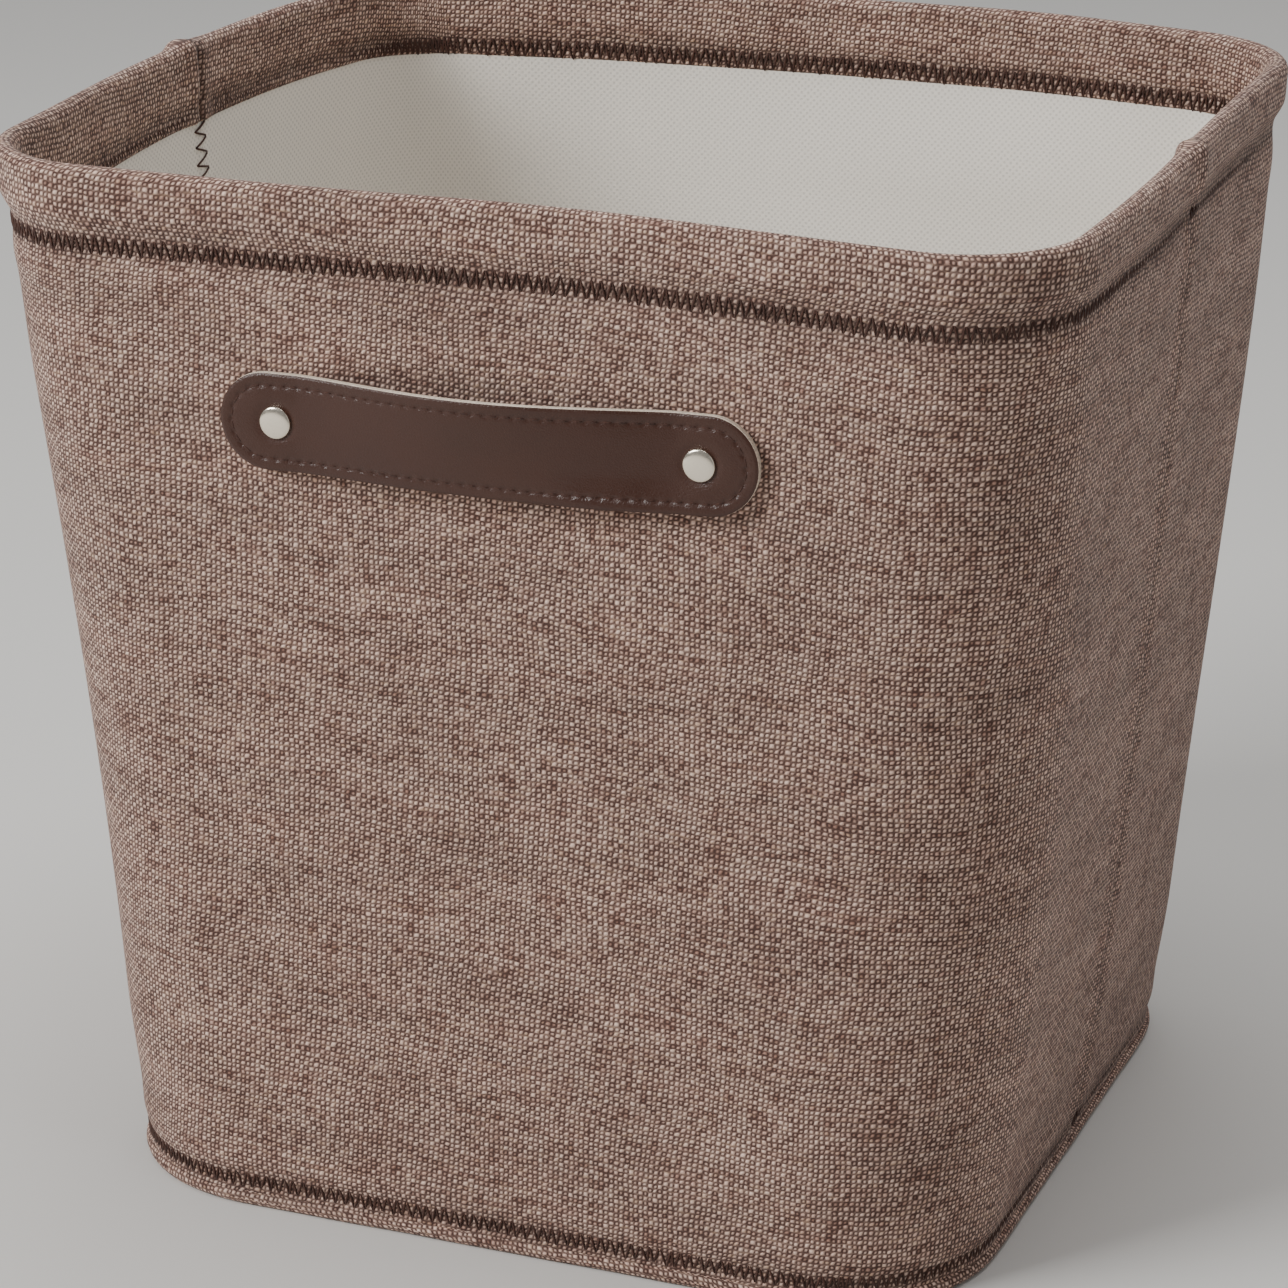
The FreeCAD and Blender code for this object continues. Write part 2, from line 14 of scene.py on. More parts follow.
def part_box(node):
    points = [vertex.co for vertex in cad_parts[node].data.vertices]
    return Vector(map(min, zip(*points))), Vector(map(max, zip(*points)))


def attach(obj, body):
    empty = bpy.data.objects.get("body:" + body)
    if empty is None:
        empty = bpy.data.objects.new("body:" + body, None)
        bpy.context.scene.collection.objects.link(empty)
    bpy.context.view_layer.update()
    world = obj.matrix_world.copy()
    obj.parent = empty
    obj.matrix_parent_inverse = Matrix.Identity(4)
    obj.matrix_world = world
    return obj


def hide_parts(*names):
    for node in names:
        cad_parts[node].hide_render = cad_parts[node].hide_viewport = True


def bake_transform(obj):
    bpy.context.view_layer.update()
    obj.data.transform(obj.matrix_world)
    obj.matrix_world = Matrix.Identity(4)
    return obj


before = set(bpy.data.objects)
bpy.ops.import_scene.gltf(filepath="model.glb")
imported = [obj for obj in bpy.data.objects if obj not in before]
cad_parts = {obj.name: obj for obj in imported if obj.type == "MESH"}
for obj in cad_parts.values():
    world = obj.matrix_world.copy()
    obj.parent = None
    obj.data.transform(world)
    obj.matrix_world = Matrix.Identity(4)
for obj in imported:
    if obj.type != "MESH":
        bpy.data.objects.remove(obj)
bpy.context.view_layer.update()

bl_info = {
    "name": "Fabric storage bin",
    "version": (1, 0, 0),
    "blender": (4, 5, 0),
    "location": "View3D > Sidebar > Storage bin",
    "description": "Builds the cloth, thread, leather and metal of a soft storage bin",
    "category": "Object",
}

MM = 0.001
PI = math.pi


def reach(node, axis, end):
    """One side of a CAD node's box in millimetres: end 0 is the lower side, 1 the upper."""
    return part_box(node)[end][axis] / MM


# The frame's sizes in millimetres. Insets run inwards from the wall's outer face.
HEIGHT = reach("front_panel", 2, 1)
RIM_X, RIM_Y = reach("front_panel", 0, 1), -reach("front_panel", 1, 0)
TWEED, FELT, LINING = 1.0, 1.6, 0.8
WALL = TWEED + FELT + LINING
HEM_PROUD = 2.4
HEM_LOW = reach("rim_bobbin_thread", 2, 0) - TWEED / 2
BASE_X = reach("base_panel", 0, 1) + WALL
BASE_Y = reach("base_panel", 1, 1) + WALL
RIM_CORNER, BASE_CORNER = 38.0 - HEM_PROUD, 54.0
WELT = reach("base_welt", 2, 1)
FLOOR_TOP = reach("base_lining", 2, 1)
STRAP_MIDDLE = (reach("front_strap_face", 2, 0) + reach("front_strap_face", 2, 1)) / 2
STRAP_HALF_WIDTH = reach("front_strap_face", 2, 1) - STRAP_MIDDLE
STRAP_HALF_LENGTH = reach("front_strap_face", 0, 1)
STRAP_BACK = -reach("front_strap_back", 1, 1)
STRAP_BOW = 7.0
LEATHER = 1.6
RIVET_RADIUS = (reach("front_rivet_caps", 2, 1) - reach("front_rivet_caps", 2, 0)) / 2
RIVET_X = reach("front_rivet_caps", 0, 1) - RIVET_RADIUS
RIVET_RISE = 1.7
# Rows of zigzag: how far the lower points are above the cloth's edge, and how tall the rows are.
ZIGZAG_FOOT = 0.6
RIM_ZIGZAG, FOOT_ZIGZAG = 6.6, 6.4
BOBBIN_DROP = 0.8
SEAM_ZIGZAG_HALF = 3.7
SEAM_THREAD_RADIUS = 0.36
STRAP_THREAD_RADIUS = 0.28
# The strap's inner layer is this much smaller all round, and the two layers lie this far apart.
BACK_MARGIN = 0.25
LAYER_GAP = 0.06
# Points across the leather's face and down its cut edge.
FACE_POINTS, EDGE_POINTS = 75, 3


# ---------------------------------------------------------------- settings


def length(name, description, default, low=0.0, high=1.0):
    """A length property in metres, given here in millimetres."""
    return bpy.props.FloatProperty(name=name, description=description, default=default * MM,
                                   min=low * MM, max=high * MM, unit="LENGTH", precision=5)


def hex_to_linear(code):
    """An sRGB hex colour as linear red, green, blue and an alpha of one."""
    values = np.array([int(code[i:i + 2], 16) for i in (1, 3, 5)]) / 255
    linear = np.where(values <= 0.04045, values / 12.92, ((values + 0.055) / 1.055) ** 2.4)
    return (*linear.tolist(), 1.0)


def colour(name, description, code):
    """A colour property whose default is given as an sRGB hex code."""
    return bpy.props.FloatVectorProperty(name=name, description=description, subtype="COLOR",
                                         size=4, min=0, max=1, default=hex_to_linear(code))


class BinShape(bpy.types.PropertyGroup):
    """How the cloth departs from straight walls."""

    side_fullness: length("Side fullness", "How far the sides bow out at mid height", 4.2, 0, 12)
    front_sag: length("Front sag", "How far front and back are drawn in below the straps", 4.8, 0, 12)
    corner_softness: length("Corner softness", "Extra corner radius at mid height", 9.0, 0, 20)
    ripple: length("Ripple", "Height of the faint waves in the wall", 0.5, 0, 3)
    rim_wander: length("Rim wander", "How far the rim's height wanders", 0.6, 0, 3)
    foot_tuck: length("Foot tuck", "How far the foot is drawn in by its seam", 2.4, 0, 4)
    seam_dip: length("Seam dip", "How deep the side seams are drawn in", 1.6, 0, 4)


class BinCloth(bpy.types.PropertyGroup):
    """Yarn, thread and lining."""

    warp_pitch: length("Warp pitch", "Spacing of the upright yarns", 1.63, 0.3, 5)
    weft_pitch: length("Weft pitch", "Spacing of the level yarns", 1.51, 0.3, 5)
    light_yarn: colour("Light yarn", "Palest fibre of the level yarns", "#F2D1BF")
    rose_yarn: colour("Rose yarn", "Warmer, pinker level yarns", "#C99D8C")
    tan_yarn: colour("Tan yarn", "Yellower slubs", "#D2AC89")
    warp_yarn: colour("Warp yarn", "Darkest melange fibres", "#805D4E")
    dark_yarn: colour("Dark yarn", "Dark fibres and the gaps between yarns", "#49312A")
    lining: colour("Lining", "Pale spun-bonded lining", "#F0EAE0")
    dot_pitch: length("Dot pitch", "Spacing of the lining's pressed dots", 2.25, 0.5, 6)
    thread: colour("Thread", "Zigzag and seam thread", "#42281F")
    thread_radius: length("Thread radius", "Radius of the zigzag thread", 0.38, 0.1, 1)
    zigzag_pitch: length("Zigzag pitch", "Spacing of the points of the rim's zigzag", 3.2, 1, 10)
    seam_pitch: length("Seam pitch", "Spacing of the side seams' zigzag", 5.2, 1, 10)


class BinHandle(bpy.types.PropertyGroup):
    """Straps and rivets."""

    twist: length("Twist", "How much further the strap's upper edge stands out", 2.0, 0, 6)
    tilt: bpy.props.FloatProperty(name="Tilt", description="How far the strap is turned, rising to "
                                  "the right", default=math.radians(1.2), subtype="ANGLE")
    shift: length("Shift", "How far the strap sits to the right of the middle", 1.5, -4, 4)
    curl: length("Curl", "How far the lower edge curls out beside the right-hand rivet", 2.4, 0, 4)
    stitch_pitch: length("Stitch pitch", "Spacing of the strap's stitches", 4.1, 1, 10)
    stitch_inset: length("Stitch inset", "Edge of the strap to its stitches", 3.5, 1, 10)
    leather: colour("Leather", "Finished face of the strap", "#3F241A")
    leather_back: colour("Leather back", "Inner face of the strap", "#3B2822")
    raw_edge: colour("Raw edge", "Cut edge of the leather", "#EADBC8")
    nickel: colour("Nickel", "Polished nickel of the rivets", "#E8DECD")


class BinStage(bpy.types.PropertyGroup):
    """Floor, light and camera."""

    floor: colour("Floor", "Plain pale floor", "#D9D7D3")
    key_power: bpy.props.FloatProperty(name="Key light", description="Power of the large soft key",
                                       default=65.0, min=0, unit="POWER")
    fill_power: bpy.props.FloatProperty(name="Fill light", description="Power of the soft fill",
                                        default=2.2, min=0, unit="POWER")
    world_strength: bpy.props.FloatProperty(name="Sky", description="Strength of the even sky light",
                                            default=0.31, min=0)
    lens: bpy.props.FloatProperty(name="Lens", description="Focal length in millimetres",
                                  default=128.5, min=10)


GROUPS = {"bin_shape": BinShape, "bin_cloth": BinCloth, "bin_handle": BinHandle,
          "bin_stage": BinStage}


def setting(group, name):
    """A length setting in millimetres."""
    return getattr(getattr(bpy.context.scene, group), name) / MM


# ---------------------------------------------------------------- the wall as a surface


def ease(value):
    """Smooth step: 0 below 0, 1 above 1, level at both ends."""
    value = np.clip(value, 0, 1)
    return value * value * (3 - 2 * value)


def bell(distance, width):
    """A smooth bump of height one that fades over about the width."""
    return np.exp(-(distance / width) ** 2)


def wall_outline(level, inset):
    """Half width, half depth and corner radius of the wall at a level.

    Each runs straight from floor to rim. To that the cloth adds a sine swell at the sides, a sine
    hollow at the front and back below the straps, and a parabola of softness at the corners.
    """
    share = np.clip(level / HEIGHT, 0, 1)
    below = np.clip(level / (STRAP_MIDDLE + 4), 0, 1)
    wide = BASE_X + (RIM_X - HEM_PROUD - BASE_X) * share
    wide = wide + setting("bin_shape", "side_fullness") * np.sin(PI * share ** 1.3)
    deep = BASE_Y + (RIM_Y - HEM_PROUD - BASE_Y) * share
    deep = deep - setting("bin_shape", "front_sag") * np.sin(PI * below) ** 1.2
    corner = BASE_CORNER + (RIM_CORNER - BASE_CORNER) * share
    corner = corner + setting("bin_shape", "corner_softness") * 4 * share * (1 - share)
    return wide - inset, deep - inset, corner - inset


def perimeter(level):
    """Length of the wall's outline at a level: four straights and four quarter circles."""
    wide, deep, corner = wall_outline(level, 0.0)
    return 4 * (wide + deep - 2 * corner + PI / 2 * corner)


def ripple(turn, level):
    """Faint waves in the cloth: a sum of sines round the bin times sines up it, fading at the foot."""
    random = np.random.default_rng(11)
    total = 0.0
    for count in range(2, 13):
        phase_round, phase_up = random.uniform(0, 2 * PI, 2)
        rise = random.uniform(0.6, 2.6)
        wave = np.sin(2 * PI * count * turn + phase_round)
        total = total + wave * np.sin(rise * PI * level / HEIGHT + phase_up) / count ** 0.5
    return setting("bin_shape", "ripple") * total / 2.4 * ease(level / 60)


# Where handling has pushed the rim out of true: turn, millimetres outwards, share of the way round
# over which it fades, and the level where it starts. The left-hand back corner is the softest.
RIM_PUSHES = ((-0.235, 5.5, 0.075, 190), (-0.375, -17.0, 0.052, 150), (0.015, -4.0, 0.050, 276),
              (0.205, 4.2, 0.080, 190), (0.440, 8.0, 0.045, 268), (0.500, 3.5, 0.030, 268))
# Where the hem hangs deeper: turn, millimetres down, share of the way round over which it fades.
HEM_DROPS = ((-0.15, 3.4, 0.07), (-0.03, 1.6, 0.08), (0.11, 1.8, 0.06))


def foot_tuck(level):
    """How far the wall is drawn in at the foot, where the base seam pulls it: an ease up the wall."""
    return setting("bin_shape", "foot_tuck") * (1 - ease(level / 55))


def beside(turn, place, width):
    """A bell round one place on the outline, which closes on itself."""
    away = turn - place
    return bell(away - np.round(away), width)


def rim_push(turn, level):
    """How far the rim stands outwards of its even shape: a bell round the bin, eased in up the wall."""
    return sum(amount * beside(turn, place, width) * ease((level - foot) / (HEIGHT - foot))
               for place, amount, width, foot in RIM_PUSHES)


def rim_lift(turn, level):
    """The rim's height wanders slowly round the bin, and the hem's lower edge hangs deeper in places."""
    wave = 0.6 * np.sin(4 * PI * turn + 1.1) + 0.4 * np.sin(10 * PI * turn + 0.4)
    lift = setting("bin_shape", "rim_wander") * wave * ease((level - 180) / 140)
    drop = sum(down * beside(turn, place, width) for place, down, width in HEM_DROPS)
    return lift - drop * bell(level - HEM_LOW - 2, 16.0)


def on_wall(turn, level, inset):
    """Points and outward normals of the wall in millimetres.

    The outline is a rectangle with round corners. turn is the share of the way round it by length:
    0 in the middle of the front, a quarter at the right-hand seam, a half in the middle of the
    back. A quarter of the outline is a straight, an arc and a straight; the rest is its mirror.
    """
    turn, level, inset = np.broadcast_arrays(*[np.asarray(v, float) for v in (turn, level, inset)])
    wide, deep, corner = wall_outline(level, inset - ripple(turn, level))
    flat_x, flat_y, bend = wide - corner, deep - corner, PI / 2 * corner
    quarter = flat_x + bend + flat_y
    turn = turn - np.round(turn)
    run = 4 * np.abs(turn) * quarter
    back = run > quarter
    run = np.where(back, 2 * quarter - run, run)
    angle = np.clip((run - flat_x) / corner, 0, PI / 2)
    x = np.minimum(run, flat_x) + corner * np.sin(angle)
    y = -flat_y - corner * np.cos(angle) + np.maximum(run - flat_x - bend, 0)
    hand = np.where(turn < 0, -1.0, 1.0)
    face = np.where(back, -1.0, 1.0)
    points = np.stack([hand * x, face * y, level + rim_lift(turn, level)], -1)
    normals = np.stack([hand * np.sin(angle), -face * np.cos(angle), np.zeros_like(x)], -1)
    push = rim_push(turn, level) - foot_tuck(level)
    return points + normals * push[..., None], normals


# ---------------------------------------------------------------- meshes


def grid_faces(rows, columns, wrap_rows=False, wrap_columns=False):
    """Quads of a grid, and the same quads as corners of the unwrapped grid, for its UV map."""
    i, j = np.meshgrid(np.arange(rows - (not wrap_rows)), np.arange(columns - (not wrap_columns)),
                       indexing="ij")
    steps = ((0, 0), (0, 1), (1, 1), (1, 0))
    wrapped = [((i + a) % rows) * columns + (j + b) % columns for a, b in steps]
    plain = [(i + a) * (columns + wrap_columns) + j + b for a, b in steps]
    return np.stack(wrapped, -1).reshape(-1, 4), np.stack(plain, -1).reshape(-1, 4)


def make_mesh(name, points, faces, uv=None, painted_shade=None):
    """An object from points in millimetres and a list of faces, with one UV pair a face corner."""
    mesh = bpy.data.meshes.new(name)
    mesh.from_pydata((np.reshape(points, (-1, 3)) * MM).tolist(), [], [list(f) for f in faces])
    if uv is not None:
        layer = mesh.uv_layers.new(name="cloth")
        layer.data.foreach_set("uv", np.reshape(uv * MM, -1).astype(np.float32))
    # The point attribute holds the painted shade: how far the tweed's colour is darkened to stand in for
    # shade.
    if painted_shade is not None:
        mesh.attributes.new("painted_shade", "FLOAT", "POINT").data.foreach_set("value", np.ravel(painted_shade))
    mesh.polygons.foreach_set("use_smooth", np.ones(len(mesh.polygons), bool))
    mesh.update()
    piece = bpy.data.objects.new(name, mesh)
    bpy.context.scene.collection.objects.link(piece)
    return piece


def make_grid(name, points, uv, flip=False, wrap_rows=False, wrap_columns=False, painted_shade=None):
    """An object from a grid of points. uv has one more row or column than the points if wrapped."""
    faces, corners = grid_faces(points.shape[0], points.shape[1], wrap_rows, wrap_columns)
    if flip:
        faces, corners = faces[:, ::-1], corners[:, ::-1]
    flat = uv.reshape(-1, 2)[corners.reshape(-1)]
    return make_mesh(name, points, faces, flat, painted_shade)


def thicken(piece, thickness):
    """Give a sheet its thickness, on the side that it faces away from."""
    wall = piece.modifiers.new("thickness", "SOLIDIFY")
    wall.thickness = thickness * MM
    wall.offset = -1
    return piece


def finish_piece(piece, body, replaced, materials):
    """Give a piece its materials, its body and the CAD nodes it stands for."""
    for material in materials:
        piece.data.materials.append(material)
    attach(piece, body)
    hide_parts(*replaced)
    return piece


def turned_round(points, side):
    """The front's points, or for the back the same turned half way round the middle line."""
    return points if side == "front" else points * np.array([-1, -1, 1])


# ---------------------------------------------------------------- materials


def add(tree, kind, inputs=None, pick=0, **settings):
    """Add a shader node with its settings; inputs are values or other nodes' outputs."""
    made = tree.nodes.new("ShaderNode" + kind)
    for name, value in settings.items():
        setattr(made, name, value)
    for socket, value in (inputs or {}).items():
        if isinstance(value, bpy.types.NodeSocket):
            tree.links.new(value, made.inputs[socket])
        else:
            made.inputs[socket].default_value = value
    return made.outputs[pick]


SOCKETS = {"roughness": "Roughness", "metallic": "Metallic", "specular": "Specular IOR Level",
           "sheen": "Sheen Weight", "sheen_roughness": "Sheen Roughness"}


def new_material(name, **surface):
    """A material with one Principled surface; keywords are short names of its sockets."""
    material = bpy.data.materials.new(name)
    material.use_nodes = True
    shader = material.node_tree.nodes["Principled BSDF"]
    for socket, value in surface.items():
        shader.inputs[SOCKETS[socket]].default_value = value
    return material, material.node_tree, shader


def surface_vector(tree, kind):
    """The cloth's own UV map in metres, or the object's place in metres."""
    if kind == "uv":
        return add(tree, "UVMap", uv_map="cloth")
    return add(tree, "TexCoord", pick=3)


# The weave's relief as waves: direction in yarns across and up, then how much of the wave's square
# and of the wave itself goes in. The first two are the yarns, the third leans the pillows, and the
# plain parts of the last two lift every second crossing.
WEAVE_GROUND = -0.2
WEAVE_WAVES = (((1, 0), 0.34, 0.0), ((0, 1), 0.28, 0.0), ((1, -1), 0.26, 0.12), ((1, 1), 0.14, 0.09))


def tweed_material(name, source="uv"):
    """Plain-weave tweed of melange polyester, matt, with level streaks.

    The relief is a sum of waves and their squares over the yarns, so each crossing is a small
    slanting pillow. Its crown shows the pale yarn and the ground between is nearly black. The colour
    changes along each yarn and from yarn to yarn. Where "painted_shade" is 1, along the rows of zigzag
    and beside the seams, painted shade halves the colour. The yarns are drawn at their real spacing.
    """
    cloth = bpy.context.scene.bin_cloth
    material, tree, shader = new_material(name, roughness=0.85, sheen=0.1, sheen_roughness=0.5,
                                          specular=0.25)
    place = surface_vector(tree, source)
    scale = (1 / cloth.warp_pitch, 1 / cloth.weft_pitch, 1.0)
    threads = add(tree, "Mapping", {0: place, 2: (0, 0, 0.05), 3: scale})
    for size, amount in ((0.035, 3.0), (0.5, 0.7)):
        stray = add(tree, "TexNoise", {"Vector": threads, "Scale": size, "Detail": 1.0}, pick=1)
        stray = add(tree, "VectorMath", {0: stray, 1: (0.5, 0.5, 0.5)}, operation="SUBTRACT")
        stray = add(tree, "VectorMath", {0: stray, "Scale": amount}, operation="SCALE")
        threads = add(tree, "VectorMath", {0: threads, 1: stray}, operation="ADD")
    relief = WEAVE_GROUND
    for way, square, plain in WEAVE_WAVES:
        wave = add(tree, "VectorMath", {0: threads, 1: (PI * way[0], PI * way[1], 0.0)}, pick=1,
                   operation="DOT_PRODUCT")
        wave = add(tree, "Math", {0: wave}, operation="COSINE")
        slope = add(tree, "Math", {0: wave, 1: square, 2: plain}, operation="MULTIPLY_ADD")
        relief = add(tree, "Math", {0: slope, 1: wave, 2: relief}, operation="MULTIPLY_ADD")
    cell = add(tree, "VectorMath", {0: threads, 1: (0.5, 0.5, 0.5)}, operation="ADD")
    cell = add(tree, "VectorMath", {0: cell}, operation="FLOOR")
    fleck = add(tree, "TexWhiteNoise", {0: cell}, pick=0, noise_dimensions="2D")
    streaks = []
    for spread in ((0.09, 7.31, 0.0), (5.77, 0.06, 0.0), (0.03, 0.10, 0.0)):
        streak = add(tree, "VectorMath", {0: cell, 1: spread}, operation="MULTIPLY")
        streak = add(tree, "TexNoise", {"Vector": streak, "Scale": 1.0, "Detail": 3.0})
        streaks.append(add(tree, "MapRange", {0: streak, 1: 0.32, 2: 0.68}))
    rows, columns, patch = streaks
    fibre = add(tree, "VectorMath", {0: threads, 1: (0.45, 1.6, 1.0)}, operation="MULTIPLY")
    fibre = add(tree, "TexNoise", {"Vector": fibre, "Scale": 1.0, "Detail": 3.0}, pick=0)
    dye = tree.nodes[-1].outputs[1]
    light = add(tree, "Math", {0: rows, 1: 0.30}, operation="MULTIPLY")
    for part, share in ((columns, 0.18), (fleck, 0.14), (fibre, 0.34)):
        light = add(tree, "Math", {0: part, 1: share, 2: light}, operation="MULTIPLY_ADD")
    dull = add(tree, "MapRange", {0: light, 1: 0.06, 2: 0.40})
    light = add(tree, "MapRange", {0: light, 1: 0.24, 2: 0.62})
    pale = add(tree, "Mix", {0: light, 6: cloth.rose_yarn, 7: cloth.light_yarn}, pick=2,
               data_type="RGBA")
    slub = add(tree, "SeparateColor", {0: dye}, pick=0)
    slub = add(tree, "MapRange", {0: slub, 1: 0.55, 2: 0.68, 4: 0.55})
    pale = add(tree, "Mix", {0: slub, 6: pale, 7: cloth.tan_yarn}, pick=2, data_type="RGBA")
    pale = add(tree, "Mix", {0: dull, 6: cloth.warp_yarn, 7: pale}, pick=2, data_type="RGBA")
    grain = add(tree, "Math", {0: fleck, 1: 0.12, 2: relief}, operation="MULTIPLY_ADD")
    grain = add(tree, "Math", {0: fibre, 1: 0.38, 2: grain}, operation="MULTIPLY_ADD")
    cover = add(tree, "MapRange", {0: dull, 3: 1.35, 4: 1.02})
    cover = add(tree, "MapRange", {0: grain, 1: 0.27, 2: cover}, interpolation_type="SMOOTHSTEP")
    skin = add(tree, "Mix", {0: cover, 6: cloth.dark_yarn, 7: pale}, pick=2, data_type="RGBA")
    tone = add(tree, "MapRange", {0: patch, 3: 0.86, 4: 1.14})
    # Painted shade: this point attribute darkens the cloth to half along the rows of zigzag and beside
    # the seams, standing in for their shade.
    painted_shade = add(tree, "Attribute", pick=2, attribute_name="painted_shade")
    painted_shade = add(tree, "MapRange", {0: painted_shade, 3: 1.0, 4: 0.5})
    tone = add(tree, "Math", {0: tone, 1: painted_shade}, operation="MULTIPLY")
    skin = add(tree, "VectorMath", {0: skin, "Scale": tone}, operation="SCALE")
    tree.links.new(skin, shader.inputs["Base Color"])
    fuzz = add(tree, "TexNoise", {"Vector": threads, "Scale": 3.2, "Detail": 2.0})
    height = add(tree, "Math", {0: fuzz, 1: 0.35, 2: relief}, operation="MULTIPLY_ADD")
    bump = add(tree, "Bump", {"Strength": 0.8, "Distance": 0.0004, "Height": height})
    tree.links.new(bump, shader.inputs["Normal"])
    return material


def lining_material(name, source="uv"):
    """Spun-bonded polypropylene, matt: pale, pressed all over with fine dots in a diamond grid."""
    cloth = bpy.context.scene.bin_cloth
    material, tree, shader = new_material(name, roughness=0.8, sheen=0.05, specular=0.3)
    place = surface_vector(tree, source)
    waves = add(tree, "VectorMath", {0: place, "Scale": 2 * PI / cloth.dot_pitch}, operation="SCALE")
    across = add(tree, "SeparateXYZ", {0: waves}, pick=0)
    up = tree.nodes[-1].outputs[1]
    across = add(tree, "Math", {0: across}, operation="COSINE")
    up = add(tree, "Math", {0: up}, operation="COSINE")
    dots = add(tree, "Math", {0: across, 1: up}, operation="MULTIPLY")
    dots = add(tree, "MapRange", {0: dots, 1: 0.0, 2: 0.8}, interpolation_type="SMOOTHSTEP")
    fibre = add(tree, "TexNoise", {"Vector": place, "Scale": 900.0, "Detail": 3.0})
    cloud = add(tree, "TexNoise", {"Vector": place, "Scale": 9.0, "Detail": 2.0})
    tone = add(tree, "MapRange", {0: cloud, 1: 0.3, 2: 0.7, 3: 0.955, 4: 1.02})
    tone = add(tree, "Math", {0: dots, 1: -0.2, 2: tone}, operation="MULTIPLY_ADD")
    skin = add(tree, "VectorMath", {0: cloth.lining[:3], "Scale": tone}, operation="SCALE")
    tree.links.new(skin, shader.inputs["Base Color"])
    height = add(tree, "Math", {0: fibre, 1: 0.25}, operation="MULTIPLY")
    height = add(tree, "Math", {0: dots, 1: -1.0, 2: height}, operation="MULTIPLY_ADD")
    bump = add(tree, "Bump", {"Strength": 0.6, "Distance": 0.00015, "Height": height})
    tree.links.new(bump, shader.inputs["Normal"])
    return material


def thread_material(name):
    """Spun polyester sewing thread, matt, with its twist showing as fine slanting ridges."""
    material, tree, shader = new_material(name, roughness=0.75, sheen=0.1, specular=0.3)
    place = surface_vector(tree, "object")
    shade = add(tree, "TexNoise", {"Vector": place, "Scale": 700.0, "Detail": 2.0})
    twist = add(tree, "TexWave", {"Vector": place, "Scale": 450.0, "Distortion": 1.5},
                bands_direction="DIAGONAL")
    tone = add(tree, "MapRange", {0: shade, 1: 0.3, 2: 0.7, 3: 0.65, 4: 1.35})
    dye = bpy.context.scene.bin_cloth.thread[:3]
    skin = add(tree, "VectorMath", {0: dye, "Scale": tone}, operation="SCALE")
    tree.links.new(skin, shader.inputs["Base Color"])
    bump = add(tree, "Bump", {"Strength": 0.5, "Distance": 0.0001, "Height": twist})
    tree.links.new(bump, shader.inputs["Normal"])
    return material


def leather_material(name, dye, roughness):
    """Finished split leather, satin: a fine pebbled grain under a thin dark coat, a little uneven."""
    material, tree, shader = new_material(name, roughness=roughness, specular=0.42)
    place = surface_vector(tree, "object")
    cells = add(tree, "TexVoronoi", {"Vector": place, "Scale": 1100.0, "Randomness": 1.0},
                feature="DISTANCE_TO_EDGE")
    cells = add(tree, "MapRange", {0: cells, 1: 0.0, 2: 0.25})
    cloud = add(tree, "TexNoise", {"Vector": place, "Scale": 55.0, "Detail": 3.0})
    tone = add(tree, "MapRange", {0: cloud, 1: 0.3, 2: 0.7, 3: 0.93, 4: 1.07})
    skin = add(tree, "VectorMath", {0: dye[:3], "Scale": tone}, operation="SCALE")
    tree.links.new(skin, shader.inputs["Base Color"])
    worn = add(tree, "MapRange", {0: cloud, 1: 0.3, 2: 0.7, 3: roughness - 0.06, 4: roughness + 0.1})
    tree.links.new(worn, shader.inputs["Roughness"])
    height = add(tree, "Math", {0: cloud, 1: 0.6, 2: cells}, operation="MULTIPLY_ADD")
    bump = add(tree, "Bump", {"Strength": 0.35, "Distance": 0.00012, "Height": height})
    tree.links.new(bump, shader.inputs["Normal"])
    return material


def raw_edge_material(name):
    """Cut edge of the leather: undyed, matt and fibrous."""
    material, tree, shader = new_material(name, roughness=0.85, specular=0.25)
    place = surface_vector(tree, "object")
    fibre = add(tree, "TexNoise", {"Vector": place, "Scale": 1400.0, "Detail": 3.0})
    tone = add(tree, "MapRange", {0: fibre, 1: 0.3, 2: 0.7, 3: 0.7, 4: 1.15})
    dye = bpy.context.scene.bin_handle.raw_edge[:3]
    skin = add(tree, "VectorMath", {0: dye, "Scale": tone}, operation="SCALE")
    tree.links.new(skin, shader.inputs["Base Color"])
    bump = add(tree, "Bump", {"Strength": 0.5, "Distance": 0.0002, "Height": fibre})
    tree.links.new(bump, shader.inputs["Normal"])
    return material


def felt_material(name):
    """Needled polyester felt: grey, matt, a tangle of short fibres."""
    material, tree, shader = new_material(name, roughness=0.95, sheen=0.2)
    place = surface_vector(tree, "object")
    fibre = add(tree, "TexNoise", {"Vector": place, "Scale": 600.0, "Detail": 4.0})
    skin = add(tree, "Mix", {0: fibre, 6: hex_to_linear("#77736D"), 7: hex_to_linear("#B4B0A8")},
               pick=2, data_type="RGBA")
    tree.links.new(skin, shader.inputs["Base Color"])
    bump = add(tree, "Bump", {"Strength": 0.6, "Distance": 0.0003, "Height": fibre})
    tree.links.new(bump, shader.inputs["Normal"])
    return material


def board_material(name):
    """Grey board of recycled pulp: matt, with darker flecks."""
    material, tree, shader = new_material(name, roughness=0.9)
    place = surface_vector(tree, "object")
    fleck = add(tree, "TexNoise", {"Vector": place, "Scale": 450.0, "Detail": 4.0})
    fleck = add(tree, "MapRange", {0: fleck, 1: 0.35, 2: 0.62})
    skin = add(tree, "Mix", {0: fleck, 6: hex_to_linear("#6F675B"), 7: hex_to_linear("#9A9285")},
               pick=2, data_type="RGBA")
    tree.links.new(skin, shader.inputs["Base Color"])
    bump = add(tree, "Bump", {"Strength": 0.3, "Distance": 0.0001, "Height": fleck})
    tree.links.new(bump, shader.inputs["Normal"])
    return material


